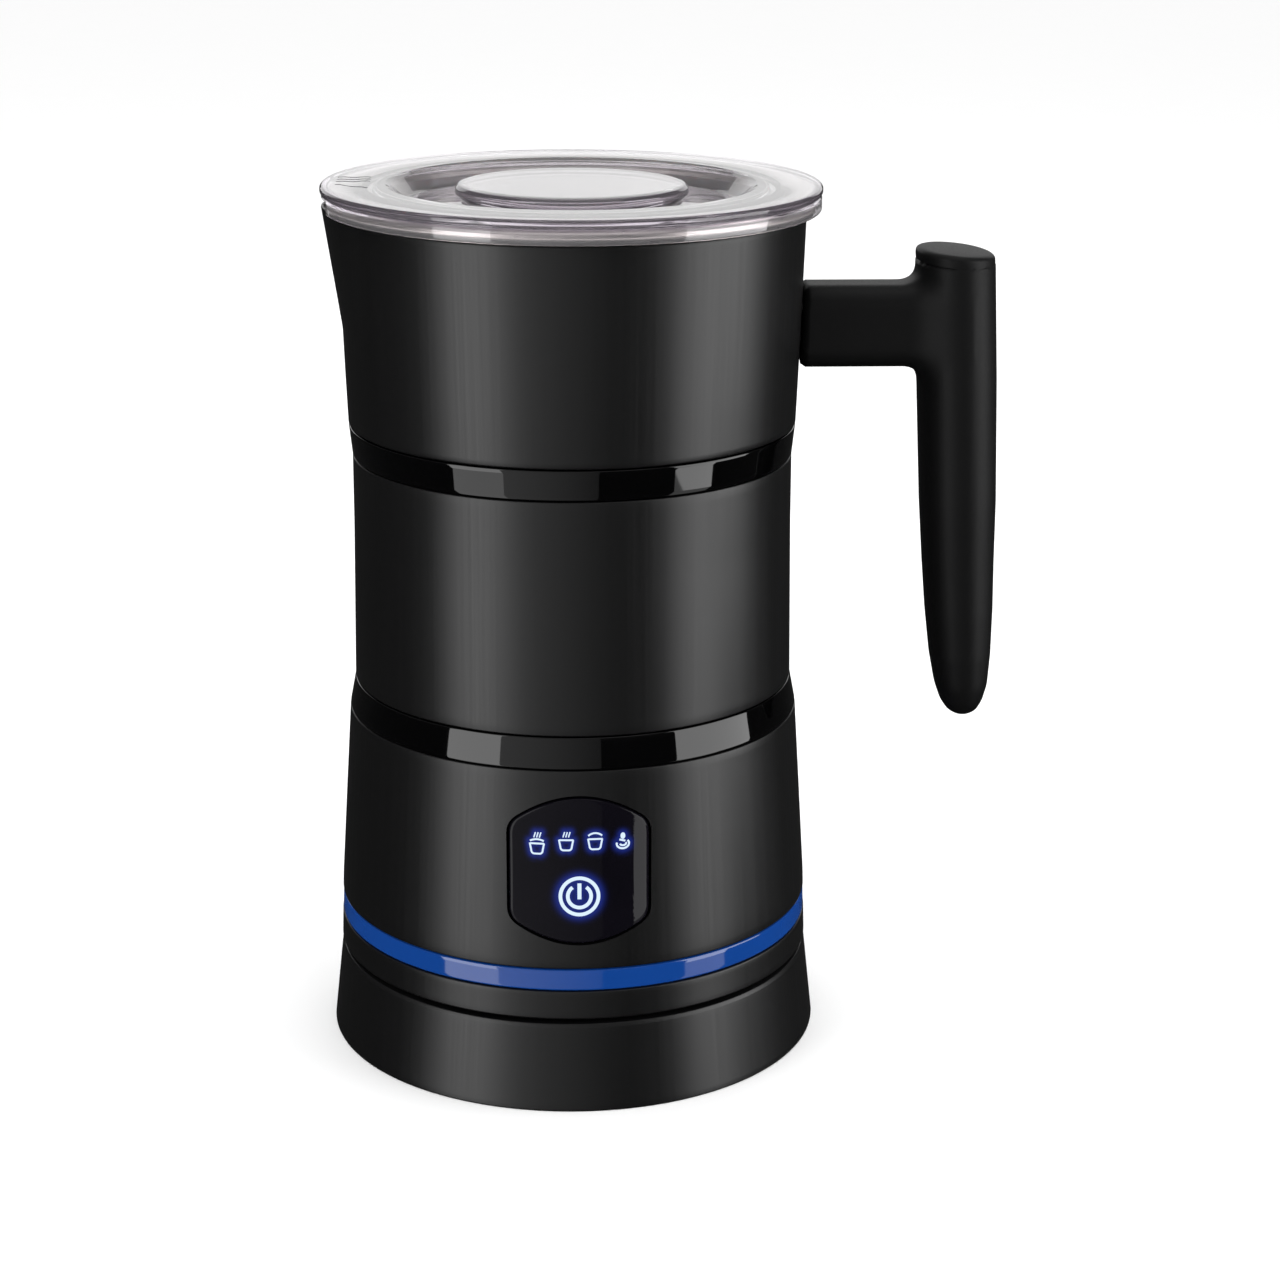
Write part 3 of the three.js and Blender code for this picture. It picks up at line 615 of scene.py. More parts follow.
def clear_plastic():
    """Clear copolyester with a faint violet tint, and painted shade: a deeper violet colour high on the
    flange's edge and round the knob's, standing in for the dark that refraction shows there.
    """
    material, tree, shader = node_tree("clear_lid")
    haze = noise(tree, object_place(tree), 120)
    place = object_place(tree)
    out = vector_math(tree, "LENGTH", flat_place(tree, place)).outputs["Value"]
    up = add(tree, "ShaderNodeSeparateXYZ")
    tree.links.new(place, up.inputs[0])
    # Painted shade: these masks darken the colour to a deeper violet on the flange's edge and the knob's edge,
    # where refraction shows dark.
    flange = joined(
        tree, "ShaderNodeMath", "MULTIPLY", ranged(tree, out, 0, 1, 0.0494, 0.0506),
        ranged(tree, up.outputs["Z"], 0.12, 1, 0.1806, 0.1812))
    knob = joined(
        tree, "ShaderNodeMath", "MULTIPLY", ranged(tree, out, 0, 0.9, 0.0225, 0.0233),
        ranged(tree, out, 1, 0, 0.0240, 0.0246))
    edges = joined(tree, "ShaderNodeMath", "MAXIMUM", flange, knob)
    dressed(tree, shader, tinted(tree, edges, (0.91, 0.885, 0.905), (0.56, 0.49, 0.58)),
            ranged(tree, haze, 0.015, 0.045))
    shader.inputs["IOR"].default_value = 1.49
    shader.inputs["Transmission Weight"].default_value = 0.94
    return material


def light_guide():
    """Deep blue translucent light guide, lit from behind, with a glossy skin."""
    material, tree, shader = node_tree("light_ring_blue")
    blue = (*settings().ring_colour, 1)
    ripple = noise(tree, round_place(tree, 3, 40), 1.0, 1.0)
    dressed(tree, shader, glow=ranged(tree, ripple, 0.26, 0.34))
    shader.inputs["Base Color"].default_value = blue
    shader.inputs["Emission Color"].default_value = blue
    shader.inputs["Roughness"].default_value = 0.06
    shader.inputs["Specular IOR Level"].default_value = 0.8
    return material


def panel_glass():
    """Gloss black window with blue light bleeding round the lit symbols.

    The piece's glow attribute sets the light, and its roll attribute turns the right edge's normal.
    """
    material, tree, shader = node_tree("panel_glass")
    glow = add(tree, "ShaderNodeAttribute", attribute_name="glow").outputs["Fac"]
    roll = add(tree, "ShaderNodeAttribute", attribute_name="roll").outputs["Fac"]
    smoke = noise(tree, object_place(tree), 80, 1.0)
    dressed(tree, shader, tinted(tree, smoke, (0.0022, 0.002, 0.0032), (0.0035, 0.003, 0.005)),
            ranged(tree, smoke, 0.03, 0.06), ranged(tree, glow, 0, 0.42))
    bumped(tree, shader, roll, 1.0, -0.0003)
    shader.inputs["Emission Color"].default_value = (0.018, 0.045, 0.42, 1)
    shader.inputs["Specular IOR Level"].default_value = 0.14
    return material


def lit_symbol():
    """White-blue light through the window's mask, very slightly uneven."""
    material, tree, shader = node_tree("lit_symbol")
    flicker = noise(tree, object_place(tree), 500, 1.0)
    dressed(tree, shader, glow=ranged(tree, flicker, 0.94, 1.02))
    shader.inputs["Base Color"].default_value = (0.04, 0.05, 0.06, 1)
    shader.inputs["Emission Color"].default_value = (*settings().symbol_colour, 1)
    return material


def silicone_white():
    """Milky silicone that lets light a little way in."""
    material = moulded("silicone", (0.55, 0.55, 0.54), 0.42)
    shader = material.node_tree.nodes["Principled BSDF"]
    shader.inputs["Subsurface Weight"].default_value = 0.3
    shader.inputs["Subsurface Scale"].default_value = 0.001
    return material


# The finish of each slot: a function and what it is called with.
FINISHES = {
    "satin_black_metal": (satin_black,),
    "gloss_black": (gloss_black,),
    "panel_glass": (panel_glass,),
    "soft_touch_black": (soft_black,),
    "inner_plastic": (moulded, "inner_plastic", (0.045, 0.045, 0.047), 0.5),
    "connector_plastic": (moulded, "connector_plastic", (0.016, 0.016, 0.017), 0.42),
    "light_ring_blue": (light_guide,),
    "clear_lid": (clear_plastic,),
    "pot_steel": (turned_metal, "pot_steel", (0.60, 0.575, 0.54), 0.32),
    "fastener_steel": (plain_metal, "fastener_steel", (0.55, 0.55, 0.55), 0.3),
    "black_rubber": (moulded, "black_rubber", (0.012, 0.012, 0.012), 0.75, 1200, 0.25),
    "silicone": (silicone_white,),
    "contact_brass": (plain_metal, "contact_brass", (0.66, 0.47, 0.18), 0.22),
    "cast_aluminium": (plain_metal, "cast_aluminium", (0.52, 0.53, 0.54), 0.38),
    "circuit_board": (circuit_board,),
    "magnet_nickel": (plain_metal, "magnet_nickel", (0.50, 0.50, 0.51), 0.18),
    "whisk_plastic": (moulded, "whisk_plastic", (0.016, 0.016, 0.017), 0.4),
}
MADE = {}


def finish_of(slot):
    """The material of a slot, made the first time it is asked for."""
    if slot not in MADE:
        make, *values = FINISHES[slot]
        MADE[slot] = make(*values)
    return MADE[slot]


def fitted(piece, body, slot, *nodes, material=None):
    """Gives a piece its finish and the body it rides on, and hides the CAD nodes it stands for."""
    piece.data.materials.clear()
    piece.data.materials.append(material or finish_of(slot))
    if nodes:
        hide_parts(*nodes)
    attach(piece, body)
    return piece


# ---- Shells ----
def spout_push(points, share=np.ones_like):
    """The mouth drawn out towards -X: r grows by reach * ramp(z) * cos^2 of the angle from -X.

    share is a function of the radius that holds back the metal near the axis.
    """
    r = np.hypot(points[:, 0], points[:, 1])
    angle = np.arctan2(points[:, 1], -points[:, 0]) / SPOUT_HALF_ANGLE
    window = np.cos(np.clip(angle, -1, 1) * math.pi / 2) ** 2
    ramp = np.clip((points[:, 2] - SPOUT_START) / (LIP_TOP - SPOUT_START), 0, 1)
    amount = SPOUT_REACH * window * ramp * share(r)
    grow = 1 + np.divide(amount, r, out=np.zeros_like(r), where=r > 1e-6)
    pushed = points.copy()
    pushed[:, :2] *= grow[:, None]
    return pushed


def outline_points(low, high, count, inset=0.0):
    """The jug's outline as (radius, height) between two heights."""
    z = np.linspace(low, high, count)
    return np.stack([jug_radius(z) - inset, z], -1)


def wall_profile(low, high, wall=SHELL_WALL):
    """Outer face up, inner face down: the jug's outline between two heights, as a closed loop."""
    return np.concatenate([outline_points(low, high, 24), outline_points(low, high, 24, wall)[::-1]])


def trim_profile(low, high):
    """A trim ring: its outer band, with a sleeve above and below that slips behind the shells."""
    foot, head = low - TRIM_SLEEVE, high + TRIM_SLEEVE
    sleeve = min(jug_radius(foot), jug_radius(head)) - 1.1
    inner = jug_radius(high) - 1.9
    rest = [[sleeve, high], [sleeve, head], [inner, head], [inner, foot], [sleeve, foot], [sleeve, low]]
    return np.concatenate([outline_points(low, high, 8), rest])


def panel_outline(grow, count=40):
    """The panel's outline in (x, z): two arcs joined by short upright sides, corners rounded.

    Each piece is a quadratic Bezier curve; grow moves the outline outwards.
    """
    side, corner = PANEL_HALF + grow, PANEL_CORNER
    top, foot = 66.9 + grow, 36.5 - grow
    shoulder, heel = 62.6 + grow, 40.3 - grow
    shoulder_turn = shoulder - 2 * (top - shoulder) / corner * (side - corner)
    heel_turn = heel + 2 * (heel - foot) / corner * (side - corner)
    curves = [
        ((-side, 59.2), (-side, shoulder_turn), (-corner, shoulder)),
        ((-corner, shoulder), (0, 2 * top - shoulder), (corner, shoulder)),
        ((corner, shoulder), (side, shoulder_turn), (side, 59.2)),
        ((side, 59.2), (side, 51.4), (side, 43.6)),
        ((side, 43.6), (side, heel_turn), (corner, heel)),
        ((corner, heel), (0, 2 * foot - heel), (-corner, heel)),
        ((-corner, heel), (-side, heel_turn), (-side, 43.6)),
        ((-side, 43.6), (-side, 51.4), (-side, 59.2)),
    ]
    weights = [10, count, 10, 12, 10, count, 10, 12]
    out = []
    for (a, b, c), n in zip(curves, weights):
        t = np.linspace(0, 1, n, endpoint=False)[:, None]
        a, b, c = np.array(a), np.array(b), np.array(c)
        out.append((1 - t) ** 2 * a + 2 * t * (1 - t) * b + t ** 2 * c)
    return np.concatenate(out)[::-1]


def wrapped(x, z, out):
    """The point at x and z that stands out from the jug's front by the given distance."""
    r = jug_radius(z) + out
    return np.stack([x, -np.sqrt(np.maximum(r * r - x * x, 1e-6)), z], -1)


def panel_prism(grow):
    """A plug of the panel's outline, for cutting the shell in front of it."""
    outline = panel_outline(grow)
    n = len(outline)
    near = np.stack([outline[:, 0], np.full(n, -60.0), outline[:, 1]], -1)
    far = near + [0, 22.0, 0]
    points = np.concatenate([near, far])
    faces = grid_faces(2, n) + [list(range(n))[::-1], [n + k for k in range(n)]]
    mesh = bpy.data.meshes.new("panel_cutter")
    mesh.from_pydata((points * MM).tolist(), [], faces)
    bm = bmesh.new()
    bm.from_mesh(mesh)
    bmesh.ops.recalc_face_normals(bm, faces=bm.faces)
    bm.to_mesh(mesh)
    bm.free()
    return linked("panel_cutter", mesh)


class FROTHER_OT_base(bpy.types.Operator):
    """Make the powered base: its cover, feet, connector turret and contacts"""
    bl_idname = "frother.base"
    bl_label = "Base"
    bl_options = {"REGISTER", "UNDO"}

    def execute(self, context):
        low, top, edge = BASE_LOW, BASE_TOP, BASE_EDGE
        bore = TURRET_REACH - 4.2

        def outer(z):
            return BASE_FOOT + (BASE_SHOULDER - BASE_FOOT) * (z - low) / (edge - low)
        wall = [[outer(z), z] for z in np.linspace(low, 17.9, 14)]
        profile = [[BASE_FOOT - BASE_WALL, low]] + wall + [
            [outer(edge) - 0.25, edge], [46.2, edge], [44.6, 17.5], [21.2, 17.5], [19.8, top],
            [bore, top], [bore, 15.5], [outer(15.5) - BASE_WALL, 15.5]]
        cover = turned("base_cover_finish", profile, soften=SHELL_SOFTEN)
        fitted(cover, "base", "satin_black_metal", "base_cover")
        pad_profile = [[0, 0], [4.6, 0], [5.5, 0.9], [5.5, 2.0], [0, 2.0]]
        for i in range(4):
            pad = turned(f"foot_{i + 1}_finish", pad_profile, 40, 0.4)
            pad = moved(pad, *ring_place(FOOT_CIRCLE, i, 4, math.radians(45)))
            fitted(pad, "base", "black_rubber", f"foot_{i + 1}")
        turret = turned("turret_finish", [
            [0, 13.4], [15.5, 13.4], [15.5, 15.1], [11, 15.1], [11, 28.9], [10.3, 29.6],
            [9.6, 29.6], [9.6, 20.2], [0, 20.2]], 96, 0.35)
        fitted(turret, "base", "connector_plastic", "connector_turret")
        for name, inner, reach, high in CONTACTS:
            section = [[inner, 20.5], [reach, 20.5], [reach, high], [inner, high]]
            fitted(turned(f"{name}_finish", section, 64, 0.25), "base", "contact_brass", name)
        pin = turned("contact_pin_finish", [
            [0, 20.5], [1.6, 20.5], [1.6, 27.2], [0.9, 28.2], [0, 28.2]], 32, 0.4)
        fitted(pin, "base", "contact_brass", "contact_pin")
        return {"FINISHED"}


class FROTHER_OT_skirt(bpy.types.Operator):
    """Make the jug's foot: its skirt and the blue light ring above it"""
    bl_idname = "frother.skirt"
    bl_label = "Skirt and light ring"
    bl_options = {"REGISTER", "UNDO"}

    def execute(self, context):
        low, high = SKIRT_LOW, SKIRT_HIGH
        inner, bore = jug_radius(high) - 2, 14.5
        profile = [
            [bore, low], [jug_radius(low) - 0.35, low], *outline_points(low + 0.35, high, 6),
            [inner, high], [inner, low + 2.2], [bore, low + 2.2]]
        cutters = []
        for i in range(3):
            place = ring_place(SCREW_CIRCLE, i, 3, math.radians(90))
            for radius, deep in ((3.2, 1.4), (1.8, 4)):
                section = [[0, low - 1], [radius, low - 1], [radius, low + deep], [0, low + deep]]
                cutters.append(moved(turned("screw_cutter", section, 32, 0.01), *place))
        skirt = carved(turned("skirt_finish", profile, soften=SHELL_SOFTEN), cutters)
        fitted(skirt, "jug", "satin_black_metal", "bottom_cover")
        low, high = RING_LOW, RING_HIGH
        guide = [*outline_points(low, high, 6, 0.1), [47.4, high], [47.4, low]]
        fitted(turned("light_ring_finish", guide, soften=0.35), "jug", "light_ring_blue", "light_ring")
        return {"FINISHED"}


class FROTHER_OT_shells(bpy.types.Operator):
    """Make the jug's shells and trim rings, with the spout and the panel's opening"""
    bl_idname = "frother.shells"
    bl_label = "Shells"
    bl_options = {"REGISTER", "UNDO"}

    def execute(self, context):
        lower = turned(
            "lower_shell_finish", wall_profile(LOWER_LOW, LOWER_HIGH, LOWER_WALL), soften=SHELL_SOFTEN)
        carved(lower, [panel_prism(PANEL_GAP)])
        fitted(lower, "jug", "satin_black_metal", "lower_shell")
        waist = turned("waist_shell_finish", wall_profile(WAIST_LOW, WAIST_HIGH), soften=SHELL_SOFTEN)
        fitted(waist, "jug", "satin_black_metal", "waist_shell")
        for name, low, high in TRIM_BANDS:
            band = turned(f"{name}_finish", trim_profile(low, high), soften=SHELL_SOFTEN)
            fitted(band, "jug", "gloss_black", name)
        self.upper_shell()
        return {"FINISHED"}

    def upper_shell(self):
        """The mouth's shell: its rim rises into the spout's lip, and the whole is pushed out there."""
        low, rim = UPPER_LOW, MOUTH_RIM
        facets = settings().facets
        angle = np.arange(facets) * TAU / facets
        z = np.concatenate([
            [low, low + 0.12], np.linspace(low + 0.35, rim - 0.35, 44), [rim - 0.12, rim]])
        inset = np.zeros_like(z)
        inset[[0, -1]] = 0.3
        inset[[1, -2]] = 0.1
        away = np.arctan2(np.sin(angle), -np.cos(angle)) / SPOUT_HALF_ANGLE
        lip = (LIP_TOP - rim) * np.cos(np.clip(away * 0.9, -1, 1) * math.pi / 2) ** 0.7
        share = np.clip((z - (rim - 8)) / 8, 0, 1)
        outer_z = z[:, None] + share[:, None] * lip[None, :]
        height = np.concatenate([outer_z, outer_z[::-1]])
        radius = np.concatenate([jug_radius(z) - inset, (jug_radius(z) - SHELL_WALL + inset)[::-1]])
        radius = radius[:, None]
        points = np.stack([radius * np.cos(angle), radius * np.sin(angle), height], -1).reshape(-1, 3)
        faces = grid_faces(len(radius), facets, wrap_rows=True)
        piece = surface_object("upper_shell_finish", spout_push(points), faces)
        fitted(piece, "jug", "satin_black_metal", "upper_shell")


class FROTHER_OT_pot(bpy.types.Operator):
    """Make the steel pot with its rolled rim and pouring lip"""
    bl_idname = "frother.pot"
    bl_label = "Pot"
    bl_options = {"REGISTER", "UNDO"}

    def execute(self, context):
        wall = [[42.8 + 0.1 * (h - 66) / 94, h] for h in np.linspace(66, 160, 20)[1:-1]]
        inner = [
            [0, 61.6], [38.8, 61.6], [40.6, 62.1], [41.8, 63], [42.5, 64.4], [42.8, 66], *wall,
            [42.9, 160], [43.2, 164], [43.9, 168.5], [44.6, 173.5], [45.3, 177.2], [46.4, 179.3],
            [47.5, 180.3], [48.3, 180.7]]
        outer = [
            [48.9, 180.6], [49.35, 180.1], [49.45, 179.5], [49.2, 178.9], [48.7, 178.5], [47.6, 178.3],
            [46.5, 177.4], [45.8, 175.6], [44.7, 168], [43.7, 160], [43.6, 66], [42.5, 62.4],
            [39.2, 60.6], [0, 60.6]]

        def lip(points):
            return spout_push(points, lambda r: np.clip((49.95 - r) / 4, 0.12, 0.75))
        pot = turned("pot_finish", inner + outer, soften=0.5, warp=lip)
        fitted(pot, "jug", "pot_steel", "inner_pot")
        return {"FINISHED"}


class FROTHER_OT_lid(bpy.types.Operator):
    """Make the clear lid with its sunk grip, and its white seal"""
    bl_idname = "frother.lid"
    bl_label = "Lid"
    bl_options = {"REGISTER", "UNDO"}

    def execute(self, context):
        top, floor = LID_TOP, LID_FLOOR
        knob_top = top - 0.05
        # Extra rings on the flat tops keep the smooth shading there from drawing a line.
        section = [
            [0, floor], [30, floor], [36.2, floor], [39.6, 181.2], [40.4, 181.2], [40.4, 173],
            [42.2, 173], [42.2, 181.2], [49.9, 181.2], [49.9, 178.3], [51.1, 178.3], [51.1, 180.9],
            [50.75, 181.3], [50.75, 181.55], [51.3, 181.9], [51.3, 182.75], [50.85, top],
            [38.0, top], [37.0, 182.5], [34.9, 179.5], [34.2, 179.1], [22.3, 179.1], [22.3, 180.0],
            [23.4, 180.6], [23.9, 181.3], [23.8, 182.4], [23.2, 183.0], [22.2, knob_top],
            [21.3, knob_top], [12, knob_top], [0, knob_top]]
        lid = turned("lid_finish", section, soften=0.45, steps=4)
        notch = rounded_block("notch", (-62, -13, 170), (-49, 13, 181.0), 0.3, 3)
        fitted(carved(lid, [notch]), "lid", "clear_lid", "lid")
        ribs = [(0, 174), (0.7, 174), (1.5, 174.6), (1.5, 175.1), (0.7, 175.6), (0.7, 176.4),
                (1.8, 177), (1.8, 177.5), (0.7, 178), (0.7, 179.6), (0, 179.6)]
        seal = turned("lid_seal_finish", [[SEAL_RADIUS + out, z] for out, z in ribs], 192, 0.2)
        fitted(seal, "lid", "silicone", "lid_gasket")
        self.steam_marks()
        return {"FINISHED"}

    def steam_marks(self):
        """Four fine wavy lines raised on the flange beside the spout: tubes along a sine curve."""
        t = np.linspace(0, 1, 33)
        sides = 8
        points, faces = [], []
        for start, end in MARK_ENDS:
            y = start + (end - start) * t + MARK_SWING * np.sin(t * TAU * 1.5)
            path = np.stack([-48.0 + 6.8 * t, y, np.full_like(t, LID_TOP)], -1)
            tube, quads = tube_along(path, MARK_RADIUS, sides, False)
            first, last = sum(len(p) for p in points), len(tube) - sides
            faces += [[v + first for v in f] for f in quads]
            faces += [[first + v for v in range(sides - 1, -1, -1)],
                      [first + last + v for v in range(sides)]]
            points.append(tube)
        marks = surface_object("steam_marks", np.concatenate(points), faces)
        fitted(marks, "lid", "connector_plastic")


# ---- Handle ----
def grip_rings(heights, width, shrink, facets=96):
    """Superellipse sections of the grip: x = w/2 |cos a|^(2/n), y = d/2 |sin a|^(2/n), signs kept."""
    angle = np.arange(facets) * TAU / facets
    cosine, sine = (np.sign(f) * np.abs(f) ** (2 / GRIP_SQUARE) for f in (np.cos(angle), np.sin(angle)))
    centre = np.interp(heights, GRIP_Z, GRIP_X)[:, None]
    half = np.maximum(width / 2 - shrink, 0.001)[:, None]
    depth = np.maximum(width / 2 * GRIP_DEPTH - shrink, 0.001)[:, None]
    x = centre + half * cosine
    return np.stack([x, depth * sine, np.broadcast_to(heights[:, None], x.shape)], -1)


def capped(rings, name):
    """A closed surface over rings of points, ended by fans to the middles of the outermost rings."""
    rows, columns = rings.shape[:2]
    ends = [rings[0].mean(0)[None], rings[-1].mean(0)[None]]
    points = np.concatenate([rings.reshape(-1, 3), *ends])
    return surface_object(name, points, grid_faces(rows, columns) + end_fans(rows, columns))


def grip_field(p):
    """Roughly the distance outside the grip: (q - 1) w / 2 with q the superellipse's measure."""
    width = np.interp(p[:, 2], GRIP_Z, GRIP_W)
    centre = np.interp(p[:, 2], GRIP_Z, GRIP_X)
    half = np.maximum(width / 2, 0.5)
    across = np.abs(p[:, 0] - centre) / half
    deep = np.abs(p[:, 1]) / (half * GRIP_DEPTH)
    side = ((across ** GRIP_SQUARE + deep ** GRIP_SQUARE) ** (1 / GRIP_SQUARE) - 1) * half
    return smooth_max(side, p[:, 2] - grip_top(p[:, 0], CAP_THICK + CAP_SEAM), 0.3)


def grip_top(x, drop):
    """The height of the cap's tilted plane at x, lowered by drop."""
    return GRIP_TOP[1] - drop - GRIP_TILT * (x - GRIP_TOP[0])


def arm_field(p):
    """The distance outside a bar along X with rounded edges, ended at the shell and inside the grip."""
    across = np.abs(p[:, 1]) - (ARM_HALF_Y - ARM_CORNER)
    up = np.abs(p[:, 2] - (ARM_LOW + ARM_HIGH) / 2) - ((ARM_HIGH - ARM_LOW) / 2 - ARM_CORNER)
    bar = np.hypot(np.maximum(across, 0), np.maximum(up, 0))
    bar = bar + np.minimum(np.maximum(across, up), 0) - ARM_CORNER
    shell = jug_radius(p[:, 2]) + 0.25 - np.hypot(p[:, 0], p[:, 1])
    return np.maximum(np.maximum(bar, shell), p[:, 0] - GRIP_TOP[0])


def handle_field(p):
    """The grip and the arm as one field, blended where they meet."""
    return smooth_min(grip_field(p), arm_field(p), ARM_BLEND)


class FROTHER_OT_handle(bpy.types.Operator):
    """Make the soft-touch handle, its arm blended into the grip, and the cap on its top"""
    bl_idname = "frother.handle"
    bl_label = "Handle"
    bl_options = {"REGISTER", "UNDO"}

    def execute(self, context):
        tip = 67.92 + 3.3 * (1 - np.cos(np.linspace(0, math.pi / 2, 12)))
        heights = np.concatenate([tip, np.linspace(72.0, 166.5, 78)])
        grip = capped(grip_rings(heights, np.interp(heights, GRIP_Z, GRIP_W), 0), "handle_grip")
        arm = rounded_block(
            "handle_arm", (46.5, -ARM_HALF_Y, ARM_LOW), (80, ARM_HALF_Y, ARM_HIGH), ARM_CORNER)
        rough = bpy.data.meshes.new("handle_rough")
        bm = bmesh.new()
        bm.from_mesh(grip.data)
        bm.from_mesh(arm.data)
        bm.to_mesh(rough)
        bm.free()
        for part in (grip, arm):
            bpy.data.objects.remove(part)
        handle = linked("handle_finish", rough)
        modifier = handle.modifiers.new("skin", "REMESH")
        modifier.mode = "VOXEL"
        modifier.voxel_size = SKIN_VOXEL
        skin = applied(handle).data
        write_points(skin, self.settled(read_points(skin).astype(float) / MM) * MM)
        shaded(skin, 60)
        fitted(handle, "jug", "soft_touch_black", "handle")
        self.cap()
        return {"FINISHED"}

    def settled(self, points):
        """Newton's steps onto the blended field's zero: p - f grad f / |grad f|^2.

        The grip's lowest 8 mm, where the field is a poor distance, keep their places.
        """
        step = 0.05
        free = points[:, 2] > GRIP_TIP_END
        moving = points[free]
        for _ in range(12):
            value = handle_field(moving)
            slope = np.stack([
                (handle_field(moving + shift) - handle_field(moving - shift)) / (2 * step)
                for shift in np.eye(3) * step], -1)
            length = np.maximum((slope ** 2).sum(1), 0.05)
            moving = moving - np.clip(value / length, -0.8, 0.8)[:, None] * slope
        points = points.copy()
        points[free] = moving
        return points

    def cap(self):
        """The oval cap: a lens on the grip's outline, in the tilted plane."""
        drop = np.array([2.5, 2.5, 1.7, 1.5, 1.15, 0.8, 0.5, 0.25, 0.08, 0.0])
        shrink = np.array([1.5, 0.1, 0.06, 0.06, 0.09, 0.12, 0.3, 0.62, 1.15, 1.9])
        heights = GRIP_TOP[1] - drop
        rings = grip_rings(heights, smooth_curve(heights, GRIP_Z, GRIP_W), shrink)
        rings[:, :, 2] = grip_top(rings[:, :, 0], drop[:, None])
        fitted(capped(rings, "handle_cap_finish"), "jug", "soft_touch_black", "handle_cap")


# ---- Control panel ----
def stroke(points, width, closed=False):
    """A flat ribbon of that width along a path in (x, z), with its own faces."""
    points = np.asarray(points, float)
    if closed:
        tangent = np.roll(points, -1, 0) - np.roll(points, 1, 0)
    else:
        tangent = np.gradient(points, axis=0)
    tangent /= np.linalg.norm(tangent, axis=1, keepdims=True)
    side = np.stack([-tangent[:, 1], tangent[:, 0]], -1) * width / 2
    both = np.stack([points + side, points - side], 1).reshape(-1, 2)
    return both, grid_faces(len(points), 2, wrap_rows=closed, wrap_columns=False)


def arc(cx, cz, rx, rz, start, end, count):
    """Points along part of an ellipse, its angles in degrees."""
    a = np.radians(np.linspace(start, end, count))
    return np.stack([cx + rx * np.cos(a), cz + rz * np.sin(a)], -1)


def line(*corners, count=6):
    """Points spread evenly along each straight side between the corners."""
    parts = [np.linspace(a, b, count, endpoint=False) for a, b in zip(corners[:-1], corners[1:])]
    return np.concatenate(parts + [np.array([corners[-1]], float)])


def bowl(x, z):
    """A cup: its rim line and sides that draw in to a rounded foot."""
    left = arc(x - 0.52, z - 1.45, 0.62, 0.68, 190, 270, 8)
    right = arc(x + 0.52, z - 1.45, 0.62, 0.68, 270, 350, 8)
    return np.concatenate([
        line((x - 1.42, z), (x - 1.13, z - 1.5)), left, right,
        line((x + 1.13, z - 1.5), (x + 1.42, z)), line((x + 1.42, z), (x - 1.3, z))])


def symbols():
    """Every lit stroke as (path, width, closed): four drinks in a row and the power mark below."""
    thin = SYMBOL_STROKE
    made = []
    for x, z, base in ((-8.5, 57.5, 1.25), (-2.65, 58.35, 0.6)):
        made.append((bowl(x, z), thin, True))
        for k in (-0.5, 0.05, 0.6):
            steam = line((x + k - 0.12, z + base), (x + k + 0.22, z + base + 1.1), count=4)
            made.append((steam, thin * 0.72, False))
    x, z = -8.5, 57.5
    made.insert(1, (arc(x, z - 1.1, 2.4, 2.0, 55, 125, 12), thin, False))
    x, z = 3.2, 58.5
    made += [(bowl(x, z), thin, True), (arc(x, z - 0.2, 1.75, 1.45, 38, 142, 16), thin, False)]
    x, z = 8.8, 57.6
    made += [
        (arc(x, z + 1.3, 0.2, 0.4, 0, 345, 16), thin * 1.6, True),
        (arc(x, z - 0.35, 1.25, 1.0, 165, 400, 26), thin * 1.1, False),
        (arc(x + 0.05, z - 0.3, 0.62, 0.42, 190, 385, 16), thin * 1.05, False),
        (line((x - 0.7, z + 0.55), (x + 0.5, z + 0.2), count=4), thin * 1.1, False)]
    z = POWER_HEIGHT
    return made + [
        (arc(0, z, 3.85, 3.85, 0, 354, 60), POWER_STROKE, True),
        (arc(0, z, 2.36, 2.36, 126, 414, 40), POWER_STROKE, False),
        (line((0, z + 2.75), (0, z - 0.6)), 0.8, False)]


